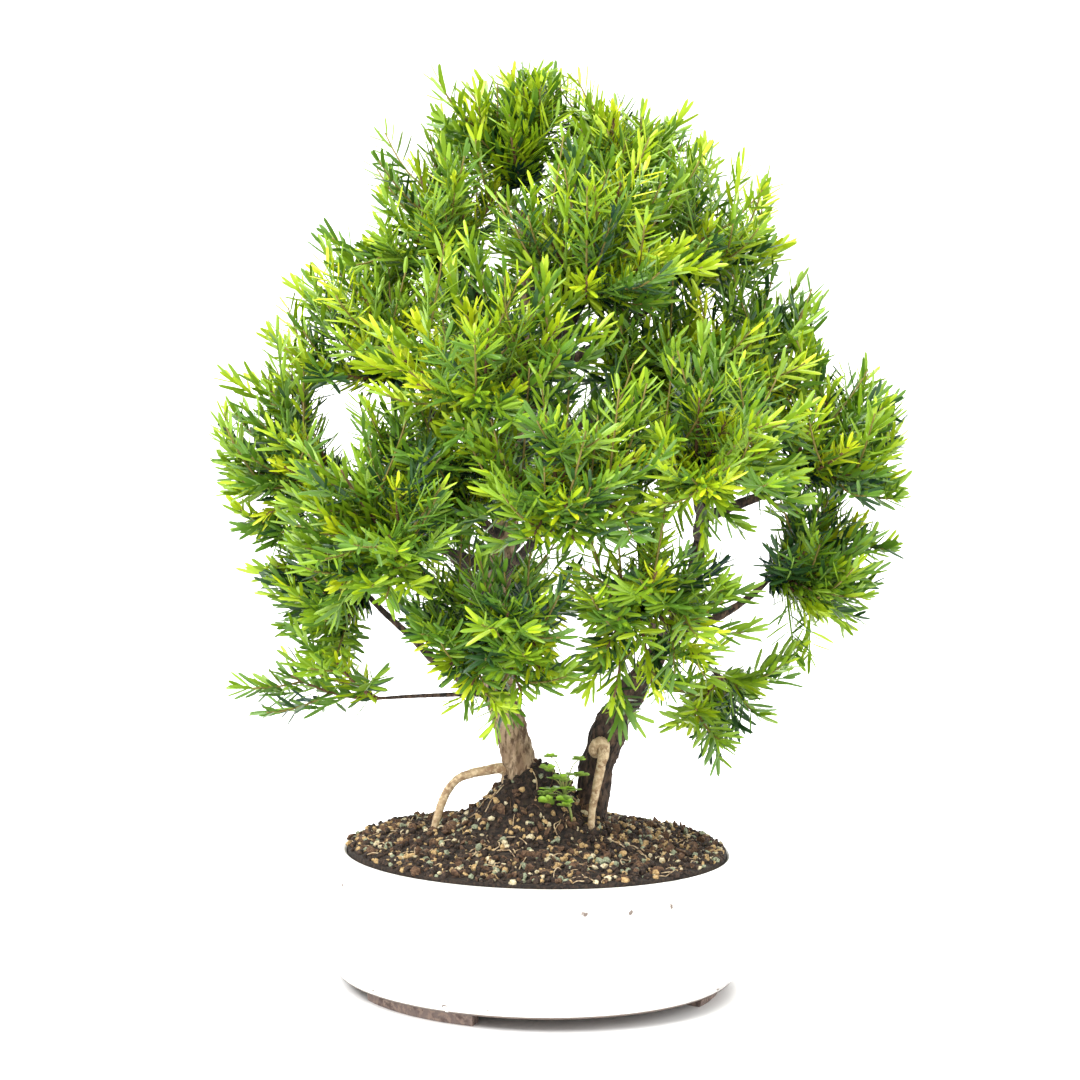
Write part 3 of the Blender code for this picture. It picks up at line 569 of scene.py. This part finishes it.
def soil():
    """The compost: its top follows the mound out to the wall, then its side goes down inside the pot."""
    rings, sides = 110, 300
    edge = POT_MOUTH_RADIUS - 0.4
    radius = np.concatenate([np.linspace(0.6, edge, rings), [edge, edge - 1, edge - 5]])
    angle = np.arange(sides) * TAU / sides
    around = np.stack([np.cos(angle), np.sin(angle), 0 * angle], -1)
    points = radius[:, None, None] * around
    points[:rings, :, 2] = mound(points[:rings])
    points[rings:, :, 2] = np.array([SOIL_LEVEL - 6, POT_FLOOR + 6, POT_FLOOR + 1])[:, None]
    return with_ends(points), ring_faces(rings + 3, sides)


GOLDEN = (1 + math.sqrt(5)) / 2
# The twelve corners and twenty faces of an icosahedron
ICO_POINTS = unit(np.array([
    (-1, GOLDEN, 0), (1, GOLDEN, 0), (-1, -GOLDEN, 0), (1, -GOLDEN, 0), (0, -1, GOLDEN), (0, 1, GOLDEN),
    (0, -1, -GOLDEN), (0, 1, -GOLDEN), (GOLDEN, 0, -1), (GOLDEN, 0, 1), (-GOLDEN, 0, -1), (-GOLDEN, 0, 1),
]))
ICO_FACES = np.array([
    (0, 11, 5), (0, 5, 1), (0, 1, 7), (0, 7, 10), (0, 10, 11), (1, 5, 9), (5, 11, 4), (11, 10, 2),
    (10, 7, 6), (7, 1, 8), (3, 9, 4), (3, 4, 2), (3, 2, 6), (3, 6, 8), (3, 8, 9), (4, 9, 5), (2, 4, 11),
    (6, 2, 10), (8, 6, 7), (9, 8, 1),
])


def random_turns(count):
    """Random rotations, from the columns of a random square frame."""
    first = unit(picker.normal(size=(count, 3)))
    second = unit(np.cross(first, picker.normal(size=(count, 3))))
    return np.stack([first, second, np.cross(first, second)], -1)


def scattered(count):
    """Random places on the soil, as many to the area everywhere."""
    away = np.sqrt(picker.uniform(0, (POT_MOUTH_RADIUS - 1.2) ** 2, count))
    turn = picker.uniform(0, TAU, count)
    places = np.stack([away * np.cos(turn), away * np.sin(turn), 0 * away], -1)
    places[:, 2] = mound(places)
    return places


def grains(count, low, high, flatness):
    """Crumbs and stones: a twenty-faced ball pulled unevenly along three axes, with each corner moved."""
    size = picker.uniform(low, high, (count, 1)) / 2
    pull = np.concatenate([picker.uniform(0.8, 1.3, (count, 2)), picker.uniform(*flatness, (count, 1))], -1)
    knobbly = ICO_POINTS[None] * picker.uniform(0.78, 1.15, (count, 12, 1)) * (size * pull)[:, None]
    turned = np.einsum("nij,npj->npi", random_turns(count), knobbly)
    places = scattered(count)
    places[:, 2] += size[:, 0] * 0.35
    return repeated(turned + places[:, None], ICO_FACES)


def fibres(count, low, high, radius):
    """Rootlets and bits of twig that lie on the soil in shallow curves."""
    start = scattered(count)
    turn = picker.uniform(0, TAU, count)
    length = picker.uniform(low, high, count)
    flat = np.stack([np.cos(turn), np.sin(turn), 0 * turn], -1)
    side = np.stack([-np.sin(turn), np.cos(turn), 0 * turn], -1)
    t = np.linspace(0, 1, 9)
    sway = picker.uniform(-0.35, 0.35, (count, 1)) * np.sin(math.pi * t)
    drift = flat[:, None] * t[:, None] + side[:, None] * sway[..., None]
    paths = start[:, None] + length[:, None, None] * drift
    away = np.linalg.norm(paths[..., :2], axis=-1, keepdims=True)
    paths[..., :2] *= np.minimum(1, (POT_MOUTH_RADIUS - 3) / away)
    lift = picker.uniform(0.2, 2.2, (count, 1)) * np.sin(math.pi * t)
    paths[..., 2] = mound(paths) + radius + lift
    return tubes(paths, np.broadcast_to(radius * (1 - 0.4 * t), (count, 9)), 5)


def limb_relief(rings, around, radii, cracks, knobs, seed):
    """Bark: ridges r = 1 - |noise| drawn out along the limb, over slow knobs. Thick parts show more."""
    stretch = np.array([1.0, 1.0, 0.3])
    ridge = 1 - np.abs(soft_noise(rings * stretch, 2.6, seed)) * 2
    fine = 1 - np.abs(soft_noise(rings * stretch, 1.2, seed + 1)) * 2
    knob = soft_noise(rings, 11, seed + 2)
    depth = np.minimum(radii / 10, 1.0)
    return rings + around * (depth * (cracks * (ridge + 0.5 * fine) + knobs * knob))[..., None]


def limb(stations, per_span, sides, cracks, knobs, seed):
    """A trunk or root: a smooth line through its stations, with bark standing off it."""
    line = smooth_line(stations, per_span)
    radii = np.repeat(np.maximum(line[:, 3:], 0.5), sides, -1)
    rings, around = tube_rings(line[:, :3], radii, sides)
    return with_ends(limb_relief(rings, around, radii, cracks, knobs, seed)), ring_faces(len(line), sides)


def bough_route(parent, hub, climb):
    """From inside the parent limb, out and then up to the hub, as the source has it."""
    points = parent[:, :3]
    near = points[np.argmin(np.linalg.norm(points - hub, axis=-1))]
    out = (hub - near) * (1, 1, 0)
    height = hub[2] - climb * np.linalg.norm(out)
    start = np.array([np.interp(height, points[:, 2], points[:, k]) for k in range(3)])
    out = (hub - start) * (1, 1, 0)
    middle = start + out * 0.55 + UP * (hub[2] - start[2]) * 0.35
    return start, middle


def more_tips(hub, tips, extra):
    """The furthest tips, and then more by a rule: a golden-angle spiral round their middle direction."""
    middle = tips.mean(0) - hub
    reach = np.linalg.norm(tips - hub, axis=-1).mean()
    axis = unit(middle)
    side = unit(np.cross(axis, (0.31, 0.87, 0.12)))
    other = np.cross(axis, side)
    k = np.arange(extra)
    spread, shortest = (MASS_SPREAD, MASS_REACH) if hub[2] < HIGH_HUB else (HIGH_SPREAD, HIGH_REACH)
    lean = spread * np.sqrt(((k + 1) * GOLDEN_RATIO) % 1)[:, None]
    turn = (GOLDEN_ANGLE * (k + 1))[:, None]
    direction = axis * np.cos(lean) + (side * np.cos(turn) + other * np.sin(turn)) * np.sin(lean)
    share = (shortest + 0.2 * ((k * GOLDEN_RATIO) % 1))[:, None]
    return np.concatenate([tips, hub + direction * reach * share])


NEEDLE_PLACES = np.array([0.14, 0.5, 0.88])
NEEDLE_OUTLINE = np.array([0.7, 1.0, 0.72])


def needle_blades(base, ahead, face, length, width):
    """Flat needles: a three-cornered section, two edges and a midrib, carried along a line that curls
    with the square of the distance. The outline is narrow at the stalk, even, then suddenly pointed."""
    across = unit(np.cross(ahead, face))
    face = np.cross(across, ahead)
    curl = picker.uniform(-0.02, 0.14, (len(base), 1, 1))
    sickle = picker.uniform(-0.08, 0.08, (len(base), 1, 1))
    s = np.concatenate([[0], NEEDLE_PLACES, [1]])[:, None]
    length, width = length[:, None, None], width[:, None, None]
    bow = face[:, None] * curl + across[:, None] * sickle
    spine = base[:, None] + length * (ahead[:, None] * s + bow * s**2)
    half = width / 2 * NEEDLE_OUTLINE[:, None]
    middle = spine[:, 1:-1]
    rings = np.stack([middle + across[:, None] * half, middle + face[:, None] * half * 0.42,
                      middle - across[:, None] * half], -2)
    return repeated(with_ends(rings, spine[:, (0, -1)]), ring_faces(len(NEEDLE_PLACES), 3))


def needles_on(curves, from_part, to_part, count, ranked, length, tone):
    """Needles along quadratic shoots, one every golden angle round them. ranked pulls them to the shoot's
    two sides; they lean further forward and get shorter towards its tip."""
    start, middle, end = (p[:, None] for p in curves)
    shoots = len(start)
    along = (np.arange(count) + picker.uniform(0.2, 0.8, (shoots, count))) / count
    t = (from_part[:, None] + (to_part - from_part)[:, None] * along)[..., None]
    place = (1 - t) ** 2 * start + 2 * t * (1 - t) * middle + t**2 * end
    ahead = unit((1 - t) * (middle - start) + t * (end - middle))
    spin = picker.uniform(0, TAU, (shoots, 1))
    level = np.stack([np.cos(spin), np.sin(spin), 0 * spin], -1)
    reference = UP + level * 1.5 * np.abs(ahead[..., 2:]) ** 3
    u = unit(reference - ahead * (reference * ahead).sum(-1, keepdims=True))
    v = np.cross(ahead, u)
    turn = (spin + GOLDEN_ANGLE * np.arange(count) + picker.normal(0, 0.2, (shoots, count)))[..., None]
    out = u * np.cos(turn) + v * np.sin(turn)
    sideways = (out * v).sum(-1, keepdims=True)
    out = unit(out + v * np.sign(sideways) * ranked[:, None, None] + u * 0.3 * ranked[:, None, None])
    end_part = along[..., None]
    lean = np.radians(60 - 30 * end_part**2 + picker.normal(0, 7, (shoots, count, 1)))
    direction = unit(out * np.sin(lean) + ahead * np.cos(lean))
    face = unit(ahead + UP * 0.35 + picker.normal(0, 0.18, direction.shape))
    profile = np.interp(along, *NEEDLE_GROWTH)
    long = length[:, None] * profile * picker.uniform(0.86, 1.12, (shoots, count))
    wide = NEEDLE_WIDTH * picker.uniform(0.85, 1.1, (shoots, count)) * (0.8 + 0.2 * profile)
    tones = tone[:, None] - 0.9 * (along - 0.5) + picker.normal(0, 0.35, (shoots, count))
    tones = np.clip(np.round(tones), 0, len(NEEDLE_TONES) - 1)
    tip = place + direction * long[..., None]
    inside = ((tip > BOX_LOW + TIP_ROOM) & (tip < BOX_HIGH - TIP_ROOM)).all(-1)
    kept = (each[inside] for each in (place, direction, face, long, wide))
    points, faces = needle_blades(*kept)
    return points, faces, np.repeat(tones[inside], len(ring_faces(len(NEEDLE_PLACES), 3)))


def grow_mass(name, hub, tips):
    """One mass: twigs from its hub to the tips, their side shoots, and needles of three ages on them."""
    thin = name in THIN_MASSES
    tips = more_tips(hub, tips, THIN_EXTRA_TWIGS if thin else EXTRA_TWIGS)
    count = len(tips)
    span = np.linalg.norm(tips - hub, axis=-1, keepdims=True)
    rise = unit(unit(tips - hub) + UP * np.where(tips[:, 2:] > hub[2], 0.35, -0.14))
    bases = tips - rise * np.minimum(SPRAY_LENGTH, span * 0.85)
    tips = tips - unit(tips - bases) * TWIG_STOP
    hubs = np.broadcast_to(hub, tips.shape)
    middle = hubs + (bases - hubs) * 0.5 + (tips - hubs) * 0.3
    length = np.linalg.norm(tips - hubs, axis=-1)
    green_from = np.clip(1 - LEADER_GREEN / length, 0.05, 0.6)
    height = np.clip((tips[:, 2] - CROWN_FOOT) / CROWN_HEIGHT, 0, 1)
    fresh = LEADER_AGE - 1.2 * height + picker.normal(0, 0.75, count)
    even = np.full(count, NEEDLE_LENGTH)
    made = [needles_on((hubs, middle, tips), green_from, np.ones(count), LEADER_NEEDLES, np.full(count, 0.5),
                       even, fresh)]
    if not thin:
        # Old needles further in, dark partly with age and partly as painted shade inside the mass
        made.append(needles_on((hubs, middle, tips), green_from * 0.3, green_from, INNER_NEEDLES,
                               np.full(count, 0.5), even * 0.95, np.full(count, INNER_AGE_AND_SHADE)))
    twig_line = bend(hubs, middle, tips, 9)
    twigs = [(*tubes(twig_line, np.broadcast_to(np.linspace(*TWIG_RADII, 9), (count, 9)), 6), 2)]
    for k, part in enumerate(SIDE_SHOOTS):
        start_points = (1 - part) ** 2 * hubs + 2 * part * (1 - part) * middle + part**2 * tips
        ahead = unit((1 - part) * (middle - hubs) + part * (tips - middle))
        turn = (GOLDEN_ANGLE * k + picker.uniform(0, TAU, count))[:, None]
        u = unit(np.cross(ahead, (0.2, 0.1, 1)))
        v = np.cross(ahead, u)
        out = u * np.cos(turn) + v * np.sin(turn)
        lean = SIDE_LEAN + picker.normal(0, 0.15, (count, 1))
        way = unit(out * np.sin(lean) + ahead * np.cos(lean))
        reach = (SIDE_LENGTH * (1.1 - 0.45 * part) * picker.uniform(0.75, 1.1, count))[:, None]
        reach = reach * (1 if hub[2] < HIGH_HUB else HIGH_SHOOTS)
        lift = picker.uniform(0.05, 0.4, (count, 1)) + 0.25 * height[:, None]
        ends = start_points + way * reach + UP * reach * lift
        ends = np.clip(ends, BOX_LOW + SHOOT_ROOM, BOX_HIGH - SHOOT_ROOM)
        middles = start_points + way * reach * 0.5
        inner = np.full(count, 0.1)
        aged = SHOOT_AGE - 2.2 * part - 0.7 * height + picker.normal(0, 0.7, count)
        made.append(needles_on((start_points, middles, ends), inner, np.ones(count), SIDE_NEEDLES,
                               np.full(count, 0.9), even * 0.95, aged))
        line = bend(start_points, middles, ends, 6)
        twigs.append((*tubes(line, np.broadcast_to(np.linspace(*SHOOT_RADII, 6), (count, 6)), 5), k % 2))
    return made, twigs


def placed_masses():
    """The table of masses, with the far side worked out from the near side."""
    masses = {}
    for name, (hub, tips, parent, climb) in MASSES.items():
        hub, tips = np.array(hub, float), np.array(tips, float)
        masses[name] = (hub, tips, parent, climb)
        if name in FAR_SIDE:
            masses[FAR_SIDE[name]] = (hub * FAR_TURN + FAR_SHIFT, tips * FAR_TURN + FAR_SHIFT, parent, climb)
    return masses


def boughs(masses):
    """Every bough's line with its radius, from inside its parent to its mass's hub."""
    lines = {name: np.array(stations, float) for name, stations in TRUNKS.items()}
    for name, (hub, _, parent, climb) in masses.items():
        if parent is None:
            continue
        start, middle = bough_route(lines[parent], hub, climb)
        line = bend(start, middle, hub, BOUGH_STEPS)
        t = np.linspace(0, 1, BOUGH_STEPS)[:, None]
        sway = np.stack([soft_noise(line, 34, seed) for seed in (21, 22, 23)], -1)
        line = line + sway * 3.0 * np.sin(math.pi * t)
        thick, thin = THIN_BOUGH_RADII if name in THIN_MASSES else BOUGH_RADII
        lines["bough_" + name] = np.concatenate([line, thick + (thin - thick) * t**0.8], -1)
    return lines


masses = placed_masses()
lines = boughs(masses)

# The pot and its soil
glaze = glaze_material()
bare_clay = mottled("stoneware_clay_unglazed", ("#7C6C66", "#5E4F49", "#948074"), (12, 3), 0.85,
                    bump=0.5, bump_size=1.0)
pot_points, pot_faces, drips, chips = pot()
stud_points, stud_faces, stud_chips = studs()
wall = joined([(pot_points, pot_faces, 0), (stud_points, stud_faces, 0)])
piece("pot_glazed", wall, [glaze], "glaze", ["pot"], drip=np.append(drips, 0 * stud_chips),
      chip=np.append(chips, stud_chips))
piece("pot_feet", (*feet(), 0), [bare_clay], "glaze", smooth=False)
soil_points, soil_faces = soil()
piece("soil_mound", (soil_points, soil_faces, 0), [compost], "earth", ["soil"])
GRIT = [
    mottled("compost_crumb", ("#2A201A", "#15100C", "#46362A"), (3, 1.5), 0.97, bump=0.8),
    mottled("bark_bit", ("#533B2A", "#36261B", "#6E543C"), (3, 1.5), 0.92, bump=0.8),
    mottled("grit_tan", ("#A8895A", "#7E6440", "#C4A878"), (3, 1.2), 0.9, bump=0.6),
    mottled("grit_cream", ("#BFB08A", "#94865F", "#D9CDAE"), (3, 1.2), 0.88, bump=0.6),
    mottled("grit_grey_green", ("#80866A", "#5E6450", "#9EA388"), (3, 1.2), 0.9, bump=0.6),
]
piece("soil_grains", joined([
    (*grains(2300, 2.2, 5.5, (0.6, 1.1)), 0),
    (*grains(520, 3.0, 8.0, (0.25, 0.6)), 1),
    (*grains(640, 2.2, 5.2, (0.5, 1.0)), 2),
    (*grains(230, 2.2, 5.4, (0.5, 1.0)), 3),
    (*grains(260, 2.2, 6.0, (0.4, 1.0)), 4),
]), GRIT, "earth", smooth=False)
piece("soil_fibres", joined([(*fibres(150, 8, 26, 0.45), 0), (*fibres(110, 6, 18, 0.35), 1)]),
      [root_bark, GRIT[1]], "earth")

# Trunks, boughs and roots in bark
piece("bark_trunk_left", (*limb(TRUNKS["trunk_left"], 26, 64, 0.9, 0.9, 31), 0), [tan_bark], "light_bark",
      ["trunk_left"])
piece("bark_trunk_right", (*limb(TRUNKS["trunk_right"], 26, 64, 0.9, 2.2, 41), 0), [dark_bark], "dark_bark",
      ["trunk_right"])
bough_names = [name for name in lines if name.startswith("bough_")]
bough_parts = []
for k, name in enumerate(bough_names):
    line = lines[name]
    radii = np.repeat(line[:, 3:], BOUGH_SIDES, -1)
    rings, around = tube_rings(line[:, :3], radii, BOUGH_SIDES)
    bough_parts.append((with_ends(limb_relief(rings, around, radii, 0.9, 1.2, 51 + k)),
                        ring_faces(len(line), BOUGH_SIDES), 0))
piece("bark_boughs", joined(bough_parts), [dark_bark], "dark_bark", bough_names)
ROOTS = {
    "root_left": ((-20, -2, 140, 4.2), (-26.5, -3, 141, 3.4), (-35, -4, 139.5, 3), (-46, -5, 137, 2.7),
                  (-54, -6, 133, 2.6), (-60, -7, 125, 2.6), (-65, -8, 112, 2.4), (-68, -9, 101, 2.1)),
    "root_front": ((37, -11, 152, 2.2), (35.5, -15, 156, 3.4), (38, -16.5, 160.5, 3.9),
                   (41.5, -17.5, 160.5, 3.9), (42, -19.5, 155, 3.6), (40.5, -21, 147, 3.0),
                   (38, -23, 134, 2.6), (35.5, -25, 121, 2.3), (34.5, -28, 106, 1.9)),
}
for k, (name, stations) in enumerate(ROOTS.items()):
    piece("bark_" + name, (*limb(stations, 12, 20, 0.9, 1.2, 81 + k), 0), [root_bark], "light_bark", [name])

# The crown
for group, names in CROWN_PIECES.items():
    needle_parts, twig_parts = [], []
    for name in names:
        hub, tips, _, _ = masses[name]
        needles, twigs = grow_mass(name, hub, tips)
        needle_parts += needles
        twig_parts += twigs
    piece("needles_" + group, joined(needle_parts), NEEDLE_TONES, "needles", names, smooth=False)
    piece("twigs_" + group, joined(twig_parts), TWIG_TONES, "dark_bark")


WEED_FOOT = (22, -30, 0)
WEED_STEMS = 19
LEAFLET_SIZES = (2.4, 3.7)


def weed():
    """A seedling between the trunks: forking stems, each with three round leaflets in a clover shape."""
    foot = np.array(WEED_FOOT, float)
    foot[2] = mound(foot) - 1
    crotch = foot + (-5, 0, 17)
    parts = [(*tubes(bend(foot, foot + (0, -2, 10), crotch, 8)[None], np.full((1, 8), 0.8), 6), 0)]
    leaves = []
    for _ in range(WEED_STEMS):
        swing = picker.uniform(0, TAU)
        away = picker.uniform(4, 15)
        top = crotch + (away * math.cos(swing) - 3, 0.5 * away * math.sin(swing) - 5, picker.uniform(-4, 29))
        line = bend(crotch, crotch + (top - crotch) * (0.3, 0.3, 0.9), top, 7)
        parts.append((*tubes(line[None], np.linspace(0.55, 0.35, 7)[None], 5), 0))
        for m in range(3):
            leaves.append((top, swing + TAU * m / 3))
    top = np.array([leaf[0] for leaf in leaves])
    angle = np.array([leaf[1] for leaf in leaves])
    size = picker.uniform(*LEAFLET_SIZES, len(top))
    tilt = np.repeat(picker.uniform(-0.2, 1.1, (len(top) // 3, 1)), 3, 0)
    out = unit(np.stack([np.cos(angle), np.sin(angle), 0.15 - tilt[:, 0] * np.sin(angle)], -1))
    side = unit(np.stack([-np.sin(angle), np.cos(angle), -tilt[:, 0] * np.cos(angle)], -1))
    normal = unit(np.cross(out, side) + picker.normal(0, 0.25, out.shape))
    rim = np.arange(12) * TAU / 12
    heart = 1 - 0.22 * np.exp(-(((np.mod(rim + math.pi, TAU) - math.pi) / 0.45) ** 2))
    across = (heart * np.sin(rim))[None, :, None]
    flat = out[:, None] * (1 + heart * np.cos(rim))[None, :, None] + side[:, None] * across
    cup = normal[:, None] * (0.125 * (1 - np.cos(2 * rim)))[None, :, None]
    centre = top + out * size[:, None]
    ring = top[:, None] + (flat + cup) * size[:, None, None]
    thick = normal[:, None] * 0.18
    rings = np.stack([ring - thick, ring + thick], 1)
    ends = np.stack([centre - thick[:, 0], centre + thick[:, 0]], 1)
    points, faces = repeated(with_ends(rings, ends), ring_faces(2, 12))
    slots = np.repeat(picker.integers(1, 3, len(top)), len(ring_faces(2, 12)))
    return joined([*parts, (points, faces, slots)])


HERB = [
    mottled("weed_stem", ("#7D8B45", "#96905A"), (4,), 0.6),
    mottled("weed_leaf_bright", ("#86B030", "#9DC444"), (3,), 0.5),
    mottled("weed_leaf_olive", ("#6A8C2E", "#84A040"), (3,), 0.55),
]
piece("weed_clover", weed(), HERB, "herb", ["weed"])

# A plain white sweep, soft light from above and from the left, and the photograph's viewing angle
white = new_material("paper_sweep_white", "#F7F7F6", 0.9)[0]
# Its section is a level floor that turns up into a wall along a quarter of a circle
curve = np.linspace(0.1, math.pi / 2, 14)
depth = np.concatenate([np.linspace(-3, 1.6, 12), 1.6 + 1.2 * np.sin(curve), [2.8]])
tall = np.concatenate([np.zeros(12), 1.2 - 1.2 * np.cos(curve), [4.5]])
cross = np.array([-4.0, 4.0])
sweep = np.stack(np.broadcast_arrays(cross[None], depth[:, None], tall[:, None]), -1)
sweep_mesh = bpy.data.meshes.new("floor_sweep")
rows = len(depth)
sweep_mesh.from_pydata(sweep.reshape(-1, 3).tolist(), [], [(2 * k, 2 * k + 1, 2 * k + 3, 2 * k + 2)
                                                          for k in range(rows - 1)])
sweep_mesh.materials.append(white)
sweep_mesh.polygons.foreach_set("use_smooth", np.full(rows - 1, True))
floor = bpy.data.objects.new("floor_sweep", sweep_mesh)
bpy.context.scene.collection.objects.link(floor)

# Each lamp's place in metres, the width of its disc and its power in watts. All aim at the tree's middle.
LIGHTS_AIM = (0, 0, 0.28)
LIGHTS = {
    "key": ((-1.5, -1.7, 2.3), 1.6, 125),
    "fill": ((1.9, -1.6, 1.3), 2.2, 30),
    "top": ((0.1, 0.2, 2.6), 2.0, 85),
    "back": ((0.4, 1.9, 1.6), 2.0, 25),
}
for name, (place, size, power) in LIGHTS.items():
    lamp = bpy.data.lights.new("light_" + name, "AREA")
    lamp.shape = "DISK"
    lamp.size = size
    lamp.energy = power
    holder = bpy.data.objects.new("light_" + name, lamp)
    bpy.context.scene.collection.objects.link(holder)
    aim = np.array(LIGHTS_AIM) - place
    holder.location = place
    level = math.hypot(aim[0], aim[1])
    holder.rotation_euler = (math.atan2(level, -aim[2]), 0, math.atan2(aim[1], aim[0]) - math.pi / 2)
world = bpy.data.worlds.new("bright_room")
world.use_nodes = True
world.node_tree.nodes["Background"].inputs["Color"].default_value = (1, 1, 1, 1)
world.node_tree.nodes["Background"].inputs["Strength"].default_value = 1.0
bpy.context.scene.world = world
bpy.context.scene.view_settings.view_transform = "Standard"

# The photograph's viewing angle, fitted to the ellipses of the pot's rim and base
PHOTO_WIDTH = 1080
FOCAL_PIXELS = 2300
SENSOR_WIDTH = 36
CAMERA_PLACE = POT_AXIS + (-0.002, -1.5, 0.3842)
CAMERA_DROP = math.radians(3.54)
CAMERA_ROLL = math.radians(1.11)
camera_data = bpy.data.cameras.new("camera")
camera_data.sensor_width = SENSOR_WIDTH
camera_data.lens = SENSOR_WIDTH * FOCAL_PIXELS / PHOTO_WIDTH
camera = bpy.data.objects.new("camera", camera_data)
bpy.context.scene.collection.objects.link(camera)
camera.matrix_world = (
    Matrix.Translation(CAMERA_PLACE.tolist())
    @ Matrix.Rotation(math.pi / 2 - CAMERA_DROP, 4, "X")
    @ Matrix.Rotation(CAMERA_ROLL, 4, "Z")
)
bpy.context.scene.camera = camera
